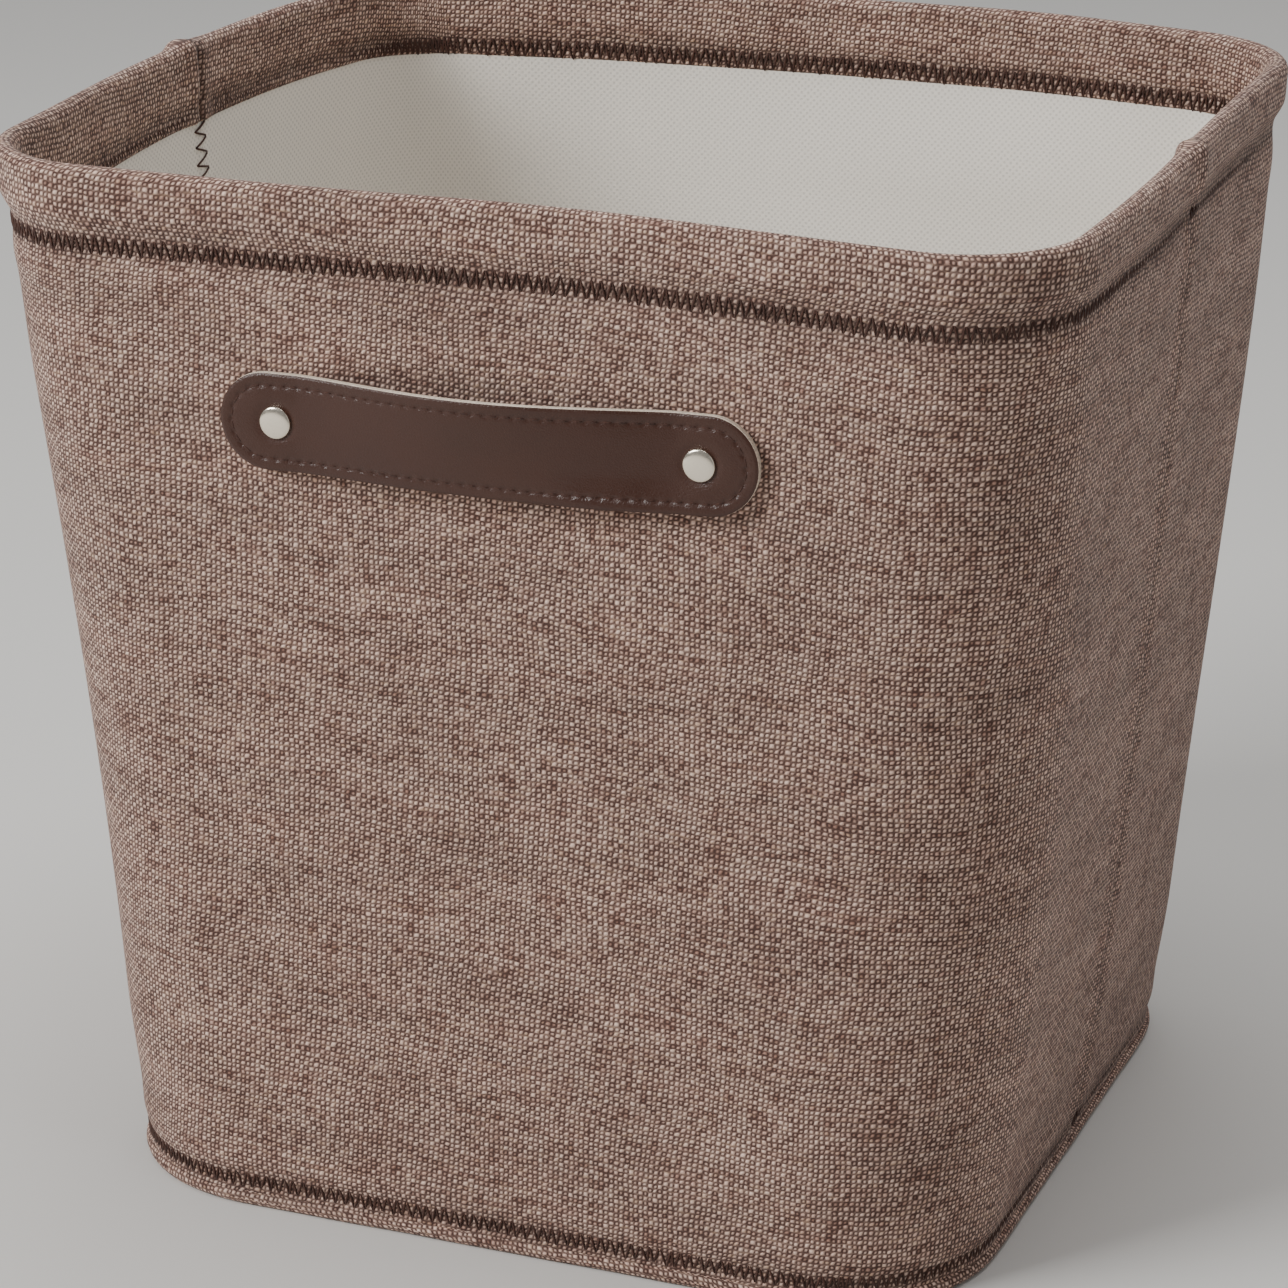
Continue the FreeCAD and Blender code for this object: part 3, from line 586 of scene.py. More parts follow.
def metal_material(name, tint, roughness, grain):
    """Bare metal: polished nickel plate, drawn steel wire or pressed sheet, by its roughness.

    grain is how much fine rubbing varies the gloss.
    """
    material, tree, shader = new_material(name, roughness=roughness, metallic=1.0)
    place = surface_vector(tree, "object")
    rub = add(tree, "TexNoise", {"Vector": place, "Scale": 1200.0, "Detail": 3.0})
    tone = add(tree, "MapRange", {0: rub, 1: 0.3, 2: 0.7, 3: 0.94, 4: 1.0})
    skin = add(tree, "VectorMath", {0: tint[:3], "Scale": tone}, operation="SCALE")
    tree.links.new(skin, shader.inputs["Base Color"])
    gloss = add(tree, "MapRange", {0: rub, 1: 0.3, 2: 0.7, 3: roughness, 4: roughness + grain})
    tree.links.new(gloss, shader.inputs["Roughness"])
    return material


def floor_material(name):
    """Plain pale studio floor, matt, with the faintest unevenness."""
    material, tree, shader = new_material(name, roughness=0.85, specular=0.2)
    place = surface_vector(tree, "object")
    cloud = add(tree, "TexNoise", {"Vector": place, "Scale": 3.0, "Detail": 2.0})
    tone = add(tree, "MapRange", {0: cloud, 3: 0.98, 4: 1.02})
    paint = bpy.context.scene.bin_stage.floor[:3]
    skin = add(tree, "VectorMath", {0: paint, "Scale": tone}, operation="SCALE")
    tree.links.new(skin, shader.inputs["Base Color"])
    return material


# ---------------------------------------------------------------- cloth pieces

# The seams' places round the bin. The left-hand one sits a little behind the middle of its side.
LEFT_SEAM, RIGHT_SEAM = -0.259, 0.25
FELT_GAP = 8.0  # the felt is cut this much short of each seam, so that the seam lies flat
PANEL_TURNS = {"front": (LEFT_SEAM, RIGHT_SEAM), "back": (RIGHT_SEAM, LEFT_SEAM + 1)}


def panel_turns(side, columns, fine, gap=0.0):
    """Shares of the way round one half of the bin, from seam to seam, closer beside the seams."""
    start, end = PANEL_TURNS[side]
    start, end = start + gap / perimeter(HEIGHT), end - gap / perimeter(HEIGHT)
    near = 0.006 * np.linspace(0, 1, fine + 1)
    return np.concatenate([start + near[:-1], np.linspace(start + 0.006, end - 0.006, columns),
                           end - near[-2::-1]])


def from_seam(side, turn, level):
    """Distance along the wall to the nearer seam of a half."""
    start, end = PANEL_TURNS[side]
    return np.minimum(turn - start, end - turn) * perimeter(level)


def along_wall(side, turn, level):
    """Distance along the wall from the middle of the front or the back."""
    return (turn - (0.0 if side == "front" else 0.5)) * perimeter(level)


def hem_profile():
    """The tweed's cross-section from the foot, up the wall, over the rim and down inside the hem.

    Up the outside the inset is a smooth step out to the hem's proud face, with a shallow bell where
    each row of zigzag pinches it. The rim is a half circle, and the inside is the same again with
    its lower edge tucked back to the lining. Returns levels, insets and the length along the cloth.
    """
    roll = (HEM_PROUD + WALL + TWEED) / 2
    middle = roll - HEM_PROUD
    crest = HEIGHT - roll
    stitch = HEM_LOW + 4
    level = np.concatenate([np.linspace(3.0, 16, 15)[:-1], np.linspace(16, HEM_LOW - 8, 84)[:-1],
                            np.linspace(HEM_LOW - 8, crest, 38)[:-1]])
    inset = -HEM_PROUD * ease((level - stitch - 2.6) / 7) + 0.6 * bell(level - stitch, 4.0)
    inset = inset - 0.35 * bell(level - HEM_LOW + 7, 5.0) + 0.5 * bell(level - WELT - 4, 3.6)
    inset = inset + 1.0 * ease((5.0 - level) / 2.2) - 0.5 * bell(level - 16, 5.0)
    angle = np.linspace(0, PI, 17)
    down = np.linspace(crest, HEM_LOW - 0.4, 26)[1:]
    inner = WALL + TWEED + 0.35 * bell(down - HEM_LOW - 13, 6.0) - 0.75 * bell(down - stitch, 3.8)
    inner = inner - 0.9 * ease((HEM_LOW + 0.9 - down) / 1.2)
    level = np.concatenate([level, crest + roll * np.sin(angle), down])
    inset = np.concatenate([inset, middle - roll * np.cos(angle), inner])
    step = np.hypot(np.diff(level), np.diff(inset))
    return level, inset, np.concatenate([[0], np.cumsum(step)])


def seam_inset(side, distance, level):
    """How the cloth is drawn in at a side seam.

    The front half ends in a raised fold, the back half starts sunk beside it, and a narrow dip runs
    between them. Over the hem, where the seam is folded on itself, both are broad lumps.
    """
    dip = setting("bin_shape", "seam_dip") * bell(distance, 1.6)
    folded = ease((level - HEM_LOW - 6) / 10)
    if side == "front":
        return dip - (0.7 + 1.6 * folded) * bell(distance - 3.0, 4.0 + 2.5 * folded)
    sunk = (1 - folded) * 0.9 * bell(distance - 3.0, 4.0)
    return 0.6 * dip + sunk - 0.7 * folded * bell(distance - 4.0, 7.0)


def make_panel(side, material):
    """Half of the tweed: the wall's surface along the hem profile, turned in at both seams."""
    level, inset, run = hem_profile()
    turn_grid, level_grid = np.meshgrid(panel_turns(side, 206, 12), level)
    away = from_seam(side, turn_grid, level_grid)
    inner = np.arange(len(level)) > len(level) - 34
    pull = seam_inset(side, away, level_grid)
    pull = np.where(inner[:, None], 0.9 * bell(away - 3.0, 4.0) - 0.5 * bell(away, 1.2), pull)
    lump = (1.3 if side == "front" else 0.3) * bell(away - 3.0, 7.0)
    lump = lump * ease((level_grid - HEM_LOW - 8) / 10)
    points, _ = on_wall(turn_grid, level_grid + lump, inset[:, None] + pull)
    along = along_wall(side, turn_grid, level_grid)
    uv = np.stack([along, np.broadcast_to(run[:, None], away.shape)], -1)
    # Painted shade in the colour: a band along each row of zigzag, and a strip beside each seam, narrow
    # on the front half and broad on the back half, where the crease's shade lies.
    painted_shade = 0.8 * bell(level - HEM_LOW - 4, 4.0) + 0.6 * bell(level - WELT - 4, 3.4)
    painted_shade = np.broadcast_to(np.minimum(painted_shade, 1)[:, None], away.shape)
    painted_shade = np.maximum(painted_shade, bell(away, 1.6) if side == "front" else 0.9 * bell(away, 5.0))
    piece = make_grid(f"{side}_panel_cloth", points, uv, painted_shade=painted_shade)
    thicken(piece, TWEED)
    finish_piece(piece, "bin", [f"{side}_panel"], [material])
    flat = (float(perimeter(HEIGHT)) / 2 * MM, float(run[-1]) * MM)
    cut = float((perimeter(level[:-1]) / 2 * np.diff(run)).sum()) * MM * MM
    return piece


def make_wall_layer(name, side, inset, thickness, low, top, columns, rows, material, inwards):
    """A plain layer of the wall between two levels, facing into the bin or out of it."""
    level = np.linspace(low, top, rows)
    gap = 0.0 if inwards else FELT_GAP
    turn_grid, level_grid = np.meshgrid(panel_turns(side, columns, 6, gap), level)
    away = from_seam(side, turn_grid, level_grid)
    ridge = 0.5 * bell(away, 2.4) * (1 - ease((level_grid - HEM_LOW + 8) / 7)) if inwards else 0.0
    points, _ = on_wall(turn_grid, level_grid, inset + ridge)
    uv = np.stack([along_wall(side, turn_grid, level_grid), level_grid], -1)
    piece = make_grid(f"{name}_cloth", points, uv, flip=inwards)
    thicken(piece, thickness)
    finish_piece(piece, "bin", [name], [material])
    width = float(perimeter(top)) / 2 - 2 * gap
    cut = (float(perimeter((top + low) / 2)) / 2 - 2 * gap) * (top - low) * MM * MM
    return piece


def make_welt(material):
    """The roll of tweed round the foot: a circle carried round the wall's outline, a little uneven."""
    columns, around = 420, 14
    turn = np.arange(columns) / columns
    angle = np.arange(around) / around * 2 * PI
    turn_grid, angle_grid = np.meshgrid(turn, angle, indexing="ij")
    radius = WELT / 2 + 0.12 * np.sin(2 * PI * 23 * turn_grid) * np.sin(2 * PI * 7 * turn_grid)
    level = WELT / 2 - radius * np.sin(angle_grid) * 0.98
    inset = WALL - WELT / 2 + 0.2 - radius * np.cos(angle_grid)
    flat_foot = np.maximum(level, 0.05)
    points, _ = on_wall(turn_grid, flat_foot, inset)
    points[..., 2] = flat_foot
    round_turn, round_angle = np.meshgrid(np.arange(columns + 1) / columns,
                                          np.arange(around + 1) / around, indexing="ij")
    uv = np.stack([round_turn * perimeter(0.0), round_angle * PI * WELT], -1)
    piece = make_grid("base_welt_cloth", points, uv, wrap_rows=True, wrap_columns=True)
    return finish_piece(piece, "bin", ["base_welt"], [material])


def make_hoop(node, level, inset, radius, reach_turn, material):
    """A round bar that follows the wall: a circle carried along the outline.

    reach_turn is None for a closed hoop, or the two ends of a short sleeve.
    """
    closed = reach_turn is None
    start, end = (0.0, 1.0) if closed else reach_turn
    columns, around = (360, 10) if closed else (14, 14)
    turn = np.linspace(start, end, columns, endpoint=not closed)
    angle = np.arange(around) / around * 2 * PI
    turn_grid, angle_grid = np.meshgrid(turn, angle, indexing="ij")
    points, normals = on_wall(turn_grid, np.full_like(turn_grid, level), inset)
    points = points + normals * (radius * np.cos(angle_grid))[..., None]
    points[..., 2] = points[..., 2] - radius * np.sin(angle_grid)
    faces, _ = grid_faces(columns, around, closed, True)
    everything = faces.tolist()
    if not closed:
        everything.append(np.arange(around)[::-1].tolist())
        everything.append((np.arange(around) + (columns - 1) * around).tolist())
    piece = make_mesh(f"{node}_bent", points, everything)
    return finish_piece(piece, "bin", [node], [material])


def plate(name, rings, tucked):
    """A closed flat piece: rings of the bin's outline, each with its inset and level.

    The first and the last ring close on a point in the middle. tucked is how far the foot's tuck
    is undone.
    """
    columns = 240
    turn = np.arange(columns) / columns
    inset = np.array([ring[0] for ring in rings])[:, None]
    level = np.array([ring[1] for ring in rings])[:, None]
    points, _ = on_wall(turn[None, :], np.zeros_like(level), inset - tucked)
    points = points.copy()
    points[..., 2] = level
    faces, _ = grid_faces(len(rings), columns, False, True)
    count = len(rings) * columns
    poles = np.array([[0, 0, level[0, 0]], [0, 0, level[-1, 0]]])
    vertices = np.concatenate([points.reshape(-1, 3), poles])
    here, there = np.arange(columns), (np.arange(columns) + 1) % columns
    first = np.stack([np.full(columns, count), there, here], -1)
    last = np.stack([np.full(columns, count + 1), here + count - columns,
                     there + count - columns], -1)
    everything = faces.tolist() + first.tolist() + last.tolist()
    corners = np.concatenate([np.array(f) for f in everything])
    return make_mesh(name, vertices, everything, vertices[corners][:, :2])


def solid_disc(name, outer, low, top, rounding, tucked=0.0):
    """A flat closed piece with rounded edges, from a low level to a top one."""
    edge = [(outer + rounding * (1 - math.sin(a)), top - rounding * (1 - math.cos(a)))
            for a in np.linspace(0, PI / 2, 5)]
    under = [(inset, low + top - level) for inset, level in reversed(edge)]
    limit = 50.0
    upper = [(inset, top) for inset in np.linspace(limit, outer + rounding, 8)[:-1]]
    lower = [(inset, low) for inset in np.linspace(outer + rounding, limit, 8)[1:]]
    return plate(name, upper + edge + under + lower, tucked)


# ---------------------------------------------------------------- thread


def make_stitches(name, starts, ends, normals, radius):
    """Stitches from start to end points: round tubes that arch over the cloth and dive in at the ends.

    Each tube has six stations. Its radius is a flattened bell, and its height above the surface a
    parabola, so the ends are sunk below it.
    """
    share = np.array([0.0, 0.1, 0.35, 0.65, 0.9, 1.0])
    swell = np.array([0.35, 0.85, 1.0, 1.0, 0.85, 0.35])
    lift = radius * (np.array([-1.1, 0.1, 0.55, 0.55, 0.1, -1.1]))
    sides = 6
    count, stations = len(starts), len(share)
    along = ends - starts
    along = along / np.linalg.norm(along, axis=1, keepdims=True)
    cross = np.cross(along, normals)
    cross = cross / np.linalg.norm(cross, axis=1, keepdims=True)
    up = np.cross(cross, along)
    angle = np.arange(sides) / sides * 2 * PI
    middle = starts[:, None] + (ends - starts)[:, None] * share[None, :, None]
    middle = middle + up[:, None] * lift[None, :, None]
    ring = cross[:, None] * np.cos(angle)[None, :, None] + up[:, None] * np.sin(angle)[None, :, None]
    points = middle[:, :, None] + ring[:, None] * (radius * swell)[None, :, None, None]
    quads, _ = grid_faces(stations, sides, False, True)
    first = np.arange(count)[:, None, None] * stations * sides
    faces = (quads[None] + first).reshape(-1, 4)[:, ::-1]
    cap = np.arange(sides)[None]
    start_caps = cap + first[:, 0]
    end_caps = cap[:, ::-1] + first[:, 0] + (stations - 1) * sides
    return make_mesh(name, points, faces.tolist() + start_caps.tolist() + end_caps.tolist())


# Where a row of stitches draws deep into the cloth, outside and inside: turn and share of the way
# round over which it fades.
HIDDEN_STITCHES = {False: ((0.24, 0.09), (0.36, 0.06)), True: ((-0.22, 0.10), (-0.32, 0.04))}


def zigzag_round(name, low, top, inset, inwards, pitch, material, replaced, seed):
    """A closed row of zigzag round the bin, its points a little uneven."""
    random = np.random.default_rng(seed)
    points = 2 * int(round(float(perimeter((low + top) / 2)) / pitch))
    turn = np.arange(points) / points + random.normal(0, 0.09, points) * pitch / perimeter(low)
    level = np.where(np.arange(points) % 2, low, top) + random.normal(0, 0.22, points)
    hidden = sum(beside(turn, place, width) for place, width in HIDDEN_STITCHES[inwards])
    level = level - 0.42 * (level - low) * hidden
    places, normals = on_wall(turn, level, inset + (-0.35 if inwards else 0.35) * hidden)
    normals = -normals if inwards else normals
    following = np.roll(places, -1, axis=0)
    piece = make_stitches(name, places, following, normals, setting("bin_cloth", "thread_radius"))
    return finish_piece(piece, "bin", replaced, [material])


def zigzag_up(name, side_turn, material, replaced, seed):
    """The zigzag down a side seam of the lining."""
    random = np.random.default_rng(seed)
    pitch, half = setting("bin_cloth", "seam_pitch"), SEAM_ZIGZAG_HALF
    low, top = 9.0, HEM_LOW - 0.5
    points = 2 * int((top - low) / pitch)
    level = np.linspace(low, top, points) + random.normal(0, 0.15, points)
    sway = np.where(np.arange(points) % 2, -half, half) + random.normal(0, 0.15, points)
    turn = side_turn + sway / perimeter(level)
    places, normals = on_wall(turn, level, WALL + 0.28)
    piece = make_stitches(name, places[:-1], places[1:], -normals[:-1], SEAM_THREAD_RADIUS)
    return finish_piece(piece, "bin", replaced, [material])


# ---------------------------------------------------------------- straps and rivets


def bow_share(x):
    """How far out the strap's middle line stands: 0 at its flat ends, 1 in the middle.

    One less the square of the share of the way to the flat end, to the power one and a half.
    """
    flat = RIVET_X - 1.2 * RIVET_RADIUS
    return np.maximum(1 - (x / flat) ** 2, 0) ** 1.5


def on_strap(x, up, out):
    """Points of the front strap: x along it, up across its width, out from its back."""
    handle = bpy.context.scene.bin_handle
    step = 0.01
    bow = STRAP_BOW + setting("bin_handle", "twist") * up / STRAP_HALF_WIDTH
    slope = (bow_share(x + step) - bow_share(x - step)) / (2 * step) * bow
    stretch = np.sqrt(1 + slope ** 2)
    lean = math.tan(handle.tilt)
    across = x - out * slope / stretch
    curl = setting("bin_handle", "curl") * bell(x - 42, 26) * ease((-up - 1) / 13) ** 2
    depth = STRAP_BACK + bow * bow_share(x) + curl + out / stretch
    across = across + setting("bin_handle", "shift")
    return np.stack([across - lean * up, -depth, STRAP_MIDDLE + up + lean * x], -1)


def edge_distance(x, up, half_length, half_width):
    """How far a point is inside the strap's outline, a rectangle with half-round ends."""
    straight = half_length - half_width
    past = np.maximum(np.abs(x) - straight, 0)
    return half_width - np.hypot(past, up)


def stitch_run():
    """The stitch line of half a strap: its straight, its end's radius, whole length and spacing."""
    radius = STRAP_HALF_WIDTH - setting("bin_handle", "stitch_inset")
    straight = STRAP_HALF_LENGTH - STRAP_HALF_WIDTH
    total = 2 * straight + PI * radius
    return straight, radius, total, total / round(total / setting("bin_handle", "stitch_pitch"))


def strap_relief(x, up):
    """Height of the leather's face.

    It is rounded at its edge, sunk along the stitches and deeper at each needle hole, by a cosine
    along the stitch line, and pressed in round the caps.
    """
    straight, radius, _, spacing = stitch_run()
    distance = edge_distance(x, up, STRAP_HALF_LENGTH, STRAP_HALF_WIDTH)
    past = np.maximum(np.abs(x) - straight, 0)
    run = np.minimum(np.abs(x), straight) + radius * np.arctan2(past, np.abs(up) + 1e-6)
    hole = ease(0.5 + 0.5 * np.cos(2 * PI * run / spacing)) ** 2
    groove = (0.18 + 0.3 * hole) * bell(distance - setting("bin_handle", "stitch_inset"), 0.75)
    rim = 0.3 * (1 - ease(distance / 1.1)) ** 1.5
    from_rivet = np.hypot(np.abs(x) - RIVET_X, up)
    press = 0.5 * bell(np.maximum(from_rivet - RIVET_RADIUS + 0.4, 0), 1.8)
    puff = 0.18 * ease((distance - 4.2) / 4)
    return puff - groove - rim - press


def strap_half(name, hand, side, layer, materials):
    """Half of one leather layer, from the middle of the strap to one end, as a closed skin.

    Columns run along x, closer together round the end; each column is a closed loop: over the
    face, down the cut edge, back underneath and up the other edge.
    """
    margin = BACK_MARGIN if layer == "back" else 0.0
    radius = STRAP_HALF_WIDTH - margin
    straight = STRAP_HALF_LENGTH - margin - radius
    bend = radius * np.sin(np.linspace(0, PI / 2 - 0.02, 40))
    x = np.concatenate([np.linspace(0, straight, 120), straight + bend[1:]])
    half = np.sqrt(np.maximum(radius ** 2 - np.maximum(x - straight, 0) ** 2, 0))
    face = np.linspace(-1, 1, FACE_POINTS)
    face = face - 0.06 * np.sin(2 * PI * face)
    low_out = LEATHER if layer == "face" else 0.0
    top_out = low_out + LEATHER
    x_top, up_top = np.broadcast_arrays(x[:, None], half[:, None] * face[None, :])
    relief = strap_relief(x_top, up_top) if layer == "face" else np.zeros_like(x_top)
    out_top = top_out - (LAYER_GAP if layer == "back" else 0) + relief
    side_share = np.linspace(0, 1, EDGE_POINTS + 1)[1:]
    bulge = 0.1 * np.sin(PI * side_share)
    floor_out = low_out + (LAYER_GAP if layer == "face" else 0)
    right_up = half[:, None] + bulge[None, :]
    right_out = out_top[:, -1:] + (floor_out - out_top[:, -1:]) * side_share[None, :]
    under = np.linspace(1, -1, 9)[1:-1]
    climb = np.linspace(0, 1, EDGE_POINTS + 1)[None, :-1]
    left_out = floor_out + (out_top[:, :1] - floor_out) * climb
    left_up = -half[:, None] - 0.1 * np.sin(PI * climb)
    up = np.concatenate([up_top, right_up, half[:, None] * under[None, :], left_up], 1)
    out = np.concatenate([out_top, right_out, np.full((len(x), len(under)), floor_out), left_out], 1)
    along = np.broadcast_to(x[:, None], up.shape) * hand
    points = turned_round(on_strap(along, up, out), side)
    rows, columns = up.shape
    faces, _ = grid_faces(rows, columns, False, True)
    column_of = np.tile(np.arange(columns), rows - 1)
    start, end = np.arange(columns), (rows - 1) * columns + np.arange(columns)
    everything = [*faces.tolist(), start[::-1].tolist(), end.tolist()]
    if hand < 0:
        everything = [face[::-1] for face in everything]
    piece = make_mesh(name, points, everything)
    first_edge = (column_of >= FACE_POINTS - 1) & (column_of < FACE_POINTS - 1 + EDGE_POINTS)
    cut = first_edge | (column_of >= columns - EDGE_POINTS - 1)
    index = np.concatenate([cut.astype(np.int32), [1, 1]])
    for material in materials:
        piece.data.materials.append(material)
    piece.data.polygons.foreach_set("material_index", index)
    sharp = piece.data.attributes.new("sharp_edge", "BOOLEAN", "EDGE")
    ends = np.empty(len(piece.data.edges) * 2, np.int32)
    piece.data.edges.foreach_get("vertices", ends)
    ends = ends.reshape(-1, 2)
    rim_edges = {tuple(sorted((int(a), int(b)))) for a, b in zip(start, np.roll(start, -1))}
    flags = [tuple(sorted(pair)) in rim_edges for pair in ends.tolist()]
    sharp.data.foreach_set("value", flags)
    piece.data.update()
    return piece


def join_to_handle(piece):
    """Bake a strap piece's transform into its mesh, in the model's frame."""
    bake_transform(piece)


def strap_stitch_line(hand):
    """Starts and ends of the stitches along one half of the strap's stitch line.

    The line is the strap's outline moved in by the stitch inset: two straights and a half circle.
    """
    straight, radius, total, spacing = stitch_run()
    middles = (np.arange(round(total / spacing)) + 0.5) * spacing
    ends = []
    for offset in (-0.36 * spacing, 0.36 * spacing):
        run = middles + offset
        angle = np.clip((run - straight) / radius, 0, PI)
        back = np.maximum(run - straight - PI * radius, 0)
        x = np.minimum(run, straight) + radius * np.sin(angle) - back
        ends.append((hand * x, radius * np.cos(angle)))
    return ends


def make_strap(side, face_leather, back_leather, edge, thread):
    """Both layers and the stitches of one strap, each in a left and a right half."""
    for word, hand in (("left", -1), ("right", 1)):
        for layer, leather in (("face", face_leather), ("back", back_leather)):
            name = f"{side}_strap_{layer}_{word}"
            piece = strap_half(name, hand, side, layer, [leather, edge])
            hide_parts(f"{side}_strap_{layer}")
            join_to_handle(piece)
        (x0, up0), (x1, up1) = strap_stitch_line(hand)
        height = 2 * LEATHER + 0.02
        starts = on_strap(x0, up0, height + strap_relief(x0, up0))
        ends = on_strap(x1, up1, height + strap_relief(x1, up1))
        above = on_strap((x0 + x1) / 2, (up0 + up1) / 2, height + 5.0)
        normals = above - on_strap((x0 + x1) / 2, (up0 + up1) / 2, height)
        starts, ends, normals = (turned_round(p, side) for p in (starts, ends, normals))
        name = f"{side}_strap_stitches_{word}"
        piece = make_stitches(name, starts, ends, normals / 5.0, STRAP_THREAD_RADIUS)
        piece.data.materials.append(thread)
        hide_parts(f"{side}_strap_stitches")
        join_to_handle(piece)


def make_rivet_caps(side, material):
    """Two low domes: a flattened sphere turned about the rivet's line, closed underneath."""
    around, steps = 40, 14
    angle = np.arange(around) / around * 2 * PI
    swing = np.linspace(0.04, PI / 2, steps)
    radius = np.concatenate([RIVET_RADIUS * np.sin(swing), [RIVET_RADIUS * 0.97, RIVET_RADIUS * 0.6]])
    rise = np.concatenate([RIVET_RISE * np.cos(swing) ** 0.3, [-0.35, -0.35]])
    rows = len(radius)
    vertices, faces = [], []
    for number, hand in enumerate((-1, 1)):
        middle = on_strap(np.array(hand * RIVET_X), np.array(0.0), np.array(2 * LEATHER - 0.55))
        x = radius[:, None] * np.cos(angle)
        up = radius[:, None] * np.sin(angle)
        out = np.broadcast_to(rise[:, None], x.shape)
        offset = np.stack([x, -out, up], -1)
        vertices.append((middle + offset).reshape(-1, 3))
        quads, _ = grid_faces(rows, around, False, True)
        first = number * rows * around
        faces += (quads + first).tolist()
        faces.append((np.arange(around)[::-1] + first).tolist())
        faces.append((np.arange(around) + first + (rows - 1) * around).tolist())
    points = turned_round(np.concatenate(vertices), side)
    piece = make_mesh(f"{side}_rivet_caps_domed", points, [f[::-1] for f in faces])
    return finish_piece(piece, "bin", [f"{side}_rivet_caps"], [material])


# ---------------------------------------------------------------- operators


class BIN_OT_camera(bpy.types.Operator):
    """Place the camera and look down a little on the front and its right-hand corner"""

    bl_idname = "bin.camera"
    bl_label = "Camera"
    bl_options = {"REGISTER", "UNDO"}

    def execute(self, context):
        azimuth, elevation, roll = (math.radians(v) for v in (21.359, 20.27, 0.102))
        ahead = Vector((-math.sin(azimuth) * math.cos(elevation),
                        math.cos(azimuth) * math.cos(elevation), -math.sin(elevation)))
        right = Vector((math.cos(azimuth), math.sin(azimuth), 0))
        up = right.cross(ahead)
        right, up = (right * math.cos(roll) + up * math.sin(roll),
                     up * math.cos(roll) - right * math.sin(roll))
        camera = bpy.data.objects.new("camera", bpy.data.cameras.new("camera"))
        context.scene.collection.objects.link(camera)
        camera.matrix_world = Matrix((right, up, -ahead)).transposed().to_4x4()
        camera.location = (0.4939, -1.2799, 0.6578)
        camera.data.lens = context.scene.bin_stage.lens
        camera.data.sensor_width = 36.0
        camera.data.clip_start = 0.05
        context.scene.camera = camera
        return {"FINISHED"}


class BIN_OT_panels(bpy.types.Operator):
    """Build the tweed wall in two halves, with its turned hem"""

    bl_idname = "bin.panels"
    bl_label = "Tweed panels"
    bl_options = {"REGISTER", "UNDO"}

    def execute(self, context):
        material = tweed_material("spun polyester tweed, plain weave")
        for side in PANEL_TURNS:
            make_panel(side, material)
        return {"FINISHED"}


class BIN_OT_inner_layers(bpy.types.Operator):
    """Build the felt and the lining of the wall"""

    bl_idname = "bin.inner_layers"
    bl_label = "Felt and lining"
    bl_options = {"REGISTER", "UNDO"}

    def execute(self, context):
        felt = felt_material("needled polyester felt")
        lining = lining_material("spun-bonded polypropylene")
        for side in PANEL_TURNS:
            make_wall_layer(f"{side}_felt", side, TWEED + 0.25, FELT - 0.4, WELT + 2, HEM_LOW - 4,
                            90, 40, felt, False)
            make_wall_layer(f"{side}_lining", side, WALL, LINING - 0.1, FLOOR_TOP, HEM_LOW + 4,
                            150, 90, lining, True)
        return {"FINISHED"}


class BIN_OT_base(bpy.types.Operator):
    """Build the welt, the base cloth and the wrapped board"""

    bl_idname = "bin.base"
    bl_label = "Base"
    bl_options = {"REGISTER", "UNDO"}

    def execute(self, context):
        tweed = tweed_material("spun polyester tweed, base")
        lining = lining_material("spun-bonded polypropylene, board")
        make_welt(tweed)
        base = solid_disc("base_panel_cloth", WALL - 1.2, 0.12, reach("base_panel", 2, 1), 0.35)
        finish_piece(base, "bin", ["base_panel"], [tweed])
        low, high = reach("base_board_cover", 2, 0), reach("base_board_cover", 2, 1)
        inset = BASE_X - reach("base_board_cover", 0, 1)
        cover = solid_disc("base_board_wrap", inset, low, high, 1.2, foot_tuck(0.0))
        finish_piece(cover, "base_insert", ["base_board_cover"], [lining])
        return {"FINISHED"}


class BIN_OT_threads(bpy.types.Operator):
    """Sew the rows of zigzag round the rim and the foot and down the lining's seams"""

    bl_idname = "bin.threads"
    bl_label = "Zigzag thread"
    bl_options = {"REGISTER", "UNDO"}

    def execute(self, context):
        thread = thread_material("spun polyester thread, brown")
        pitch = setting("bin_cloth", "zigzag_pitch")
        low = HEM_LOW + ZIGZAG_FOOT
        top = low + RIM_ZIGZAG
        zigzag_round("rim_needle_stitches", low, top, 0.6, False, pitch, thread,
                     ["rim_needle_thread"], 21)
        zigzag_round("rim_bobbin_stitches", low - BOBBIN_DROP, top - BOBBIN_DROP,
                     WALL + TWEED - 0.55, True, pitch, thread, ["rim_bobbin_thread"], 22)
        foot = WELT + ZIGZAG_FOOT
        zigzag_round("base_needle_stitches", foot, foot + FOOT_ZIGZAG, 0.5, False, pitch, thread,
                     ["base_needle_thread"], 23)
        zigzag_up("left_seam_stitches", LEFT_SEAM, thread, ["left_seam_thread"], 24)
        zigzag_up("right_seam_stitches", RIGHT_SEAM, thread, ["right_seam_thread"], 25)
        return {"FINISHED"}


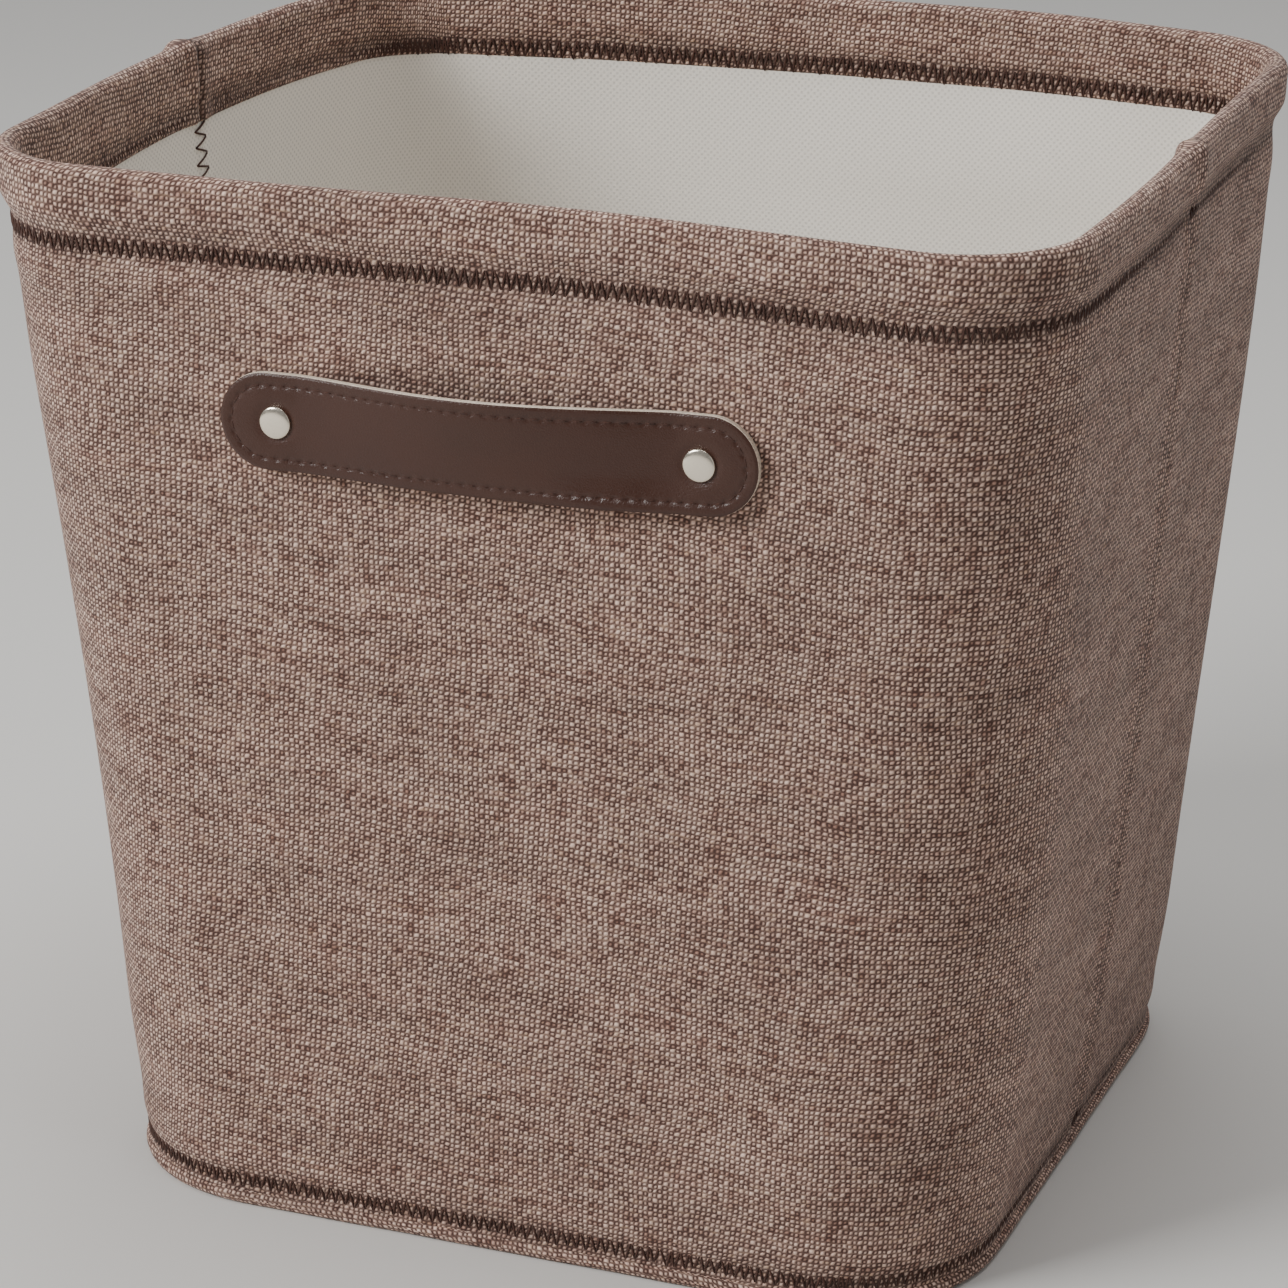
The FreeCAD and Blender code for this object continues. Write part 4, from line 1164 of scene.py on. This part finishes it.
class BIN_OT_hidden(bpy.types.Operator):
    """Give the wire hoops, sleeves, board, rivet shanks and washers their materials"""

    bl_idname = "bin.hidden"
    bl_label = "Wire, board and shanks"
    bl_options = {"REGISTER", "UNDO"}

    def execute(self, context):
        wire = metal_material("drawn steel wire, zinc plated", hex_to_linear("#B9BABB"), 0.3, 0.15)
        crimp = metal_material("crimped aluminium", hex_to_linear("#C9CBCD"), 0.35, 0.15)
        board = board_material("grey board")
        lining = lining_material("spun-bonded polypropylene, floor", "object")
        radius = {name: (reach(f"{name}_wire", 2, 1) - reach(f"{name}_wire", 2, 0)) / 2
                  for name in ("rim", "base")}
        inside = {"rim": (HEM_PROUD + WALL + TWEED) / 2 - HEM_PROUD, "base": WALL - WELT / 2 + 0.2}
        for name in ("rim", "base"):
            level = (reach(f"{name}_wire", 2, 1) + reach(f"{name}_wire", 2, 0)) / 2
            thick = (reach(f"{name}_wire_sleeve", 2, 1) - reach(f"{name}_wire_sleeve", 2, 0)) / 2
            half = reach(f"{name}_wire_sleeve", 0, 1) / perimeter(level)
            make_hoop(f"{name}_wire", level, inside[name], radius[name], None, wire)
            make_hoop(f"{name}_wire_sleeve", level, inside[name], thick, (0.5 - half, 0.5 + half),
                      crimp)
        finishes = {"base_board": board, "base_lining": lining}
        for side in PANEL_TURNS:
            finishes[f"{side}_rivet_posts"] = wire
            finishes[f"{side}_rivet_washers"] = wire
        for node, material in finishes.items():
            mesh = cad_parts[node].data
            mesh.materials.clear()
            mesh.materials.append(material)
        return {"FINISHED"}


class BIN_OT_straps(bpy.types.Operator):
    """Build the two leather straps and their stitches"""

    bl_idname = "bin.straps"
    bl_label = "Leather straps"
    bl_options = {"REGISTER", "UNDO"}

    def execute(self, context):
        handle = context.scene.bin_handle
        face = leather_material("coated split leather, face", handle.leather, 0.33)
        back = leather_material("coated split leather, inside", handle.leather_back, 0.55)
        edge = raw_edge_material("cut leather edge")
        thread = thread_material("spun polyester thread, strap")
        for side in PANEL_TURNS:
            make_strap(side, face, back, edge, thread)
        return {"FINISHED"}


class BIN_OT_rivets(bpy.types.Operator):
    """Set the domed caps on the rivets"""

    bl_idname = "bin.rivets"
    bl_label = "Rivet caps"
    bl_options = {"REGISTER", "UNDO"}

    def execute(self, context):
        nickel = metal_material("polished nickel plate", context.scene.bin_handle.nickel, 0.16, 0.06)
        for side in PANEL_TURNS:
            make_rivet_caps(side, nickel)
        return {"FINISHED"}


class BIN_OT_stage(bpy.types.Operator):
    """Lay the floor and hang the soft lights"""

    bl_idname = "bin.stage"
    bl_label = "Stage"
    bl_options = {"REGISTER", "UNDO"}

    def execute(self, context):
        stage = context.scene.bin_stage
        edge = 4000.0
        corners = np.array([[-edge, -edge, 0], [edge, -edge, 0], [edge, edge, 0], [-edge, edge, 0]])
        floor = make_mesh("floor", corners, [[0, 1, 2, 3]])
        floor.data.materials.append(floor_material("matt pale paint"))
        world = bpy.data.worlds.new("even sky")
        context.scene.world = world
        world.use_nodes = True
        sky = world.node_tree.nodes["Background"]
        sky.inputs["Color"].default_value = hex_to_linear("#F1F2F4")
        sky.inputs["Strength"].default_value = stage.world_strength
        lights = (("key", stage.key_power, 1.1, (-1.5, -1.7, 1.6)),
                  ("fill", stage.fill_power, 1.6, (1.9, -0.9, 0.9)),
                  ("top", 0.36 * stage.key_power, 1.4, (0.1, 0.3, 2.1)))
        for name, power, size, place in lights:
            lamp = bpy.data.lights.new(name, "AREA")
            lamp.energy = power
            lamp.size = size
            light = bpy.data.objects.new(name, lamp)
            context.scene.collection.objects.link(light)
            light.location = place
            aim = Vector((0, 0, 0.16)) - Vector(place)
            light.rotation_mode = "QUATERNION"
            light.rotation_quaternion = aim.to_track_quat("-Z", "Y")
        return {"FINISHED"}


STEPS = (BIN_OT_camera, BIN_OT_panels, BIN_OT_inner_layers, BIN_OT_base, BIN_OT_threads,
         BIN_OT_hidden, BIN_OT_straps, BIN_OT_rivets, BIN_OT_stage)


class BIN_PT_build(bpy.types.Panel):
    """Lists the steps that build the bin"""

    bl_label = "Storage bin"
    bl_idname = "BIN_PT_build"
    bl_space_type = "VIEW_3D"
    bl_region_type = "UI"
    bl_category = "Storage bin"

    def draw(self, context):
        for step in STEPS:
            self.layout.operator(step.bl_idname)
        for group in GROUPS:
            box = self.layout.box()
            for name in GROUPS[group].__annotations__:
                box.prop(getattr(context.scene, group), name)


CLASSES = (*GROUPS.values(), *STEPS, BIN_PT_build)


def register():
    """Make the classes and the scene's groups of settings known to Blender."""
    for cls in CLASSES:
        bpy.utils.register_class(cls)
    for name, cls in GROUPS.items():
        setattr(bpy.types.Scene, name, bpy.props.PointerProperty(type=cls))


def unregister():
    """Undo register, in the opposite order."""
    for name in GROUPS:
        delattr(bpy.types.Scene, name)
    for cls in reversed(CLASSES):
        bpy.utils.unregister_class(cls)


def main():
    """Build the bin step by step."""
    register()
    for step in STEPS:
        group, name = step.bl_idname.split(".")
        getattr(getattr(bpy.ops, group), name)()


if __name__ == "__main__":
    main()
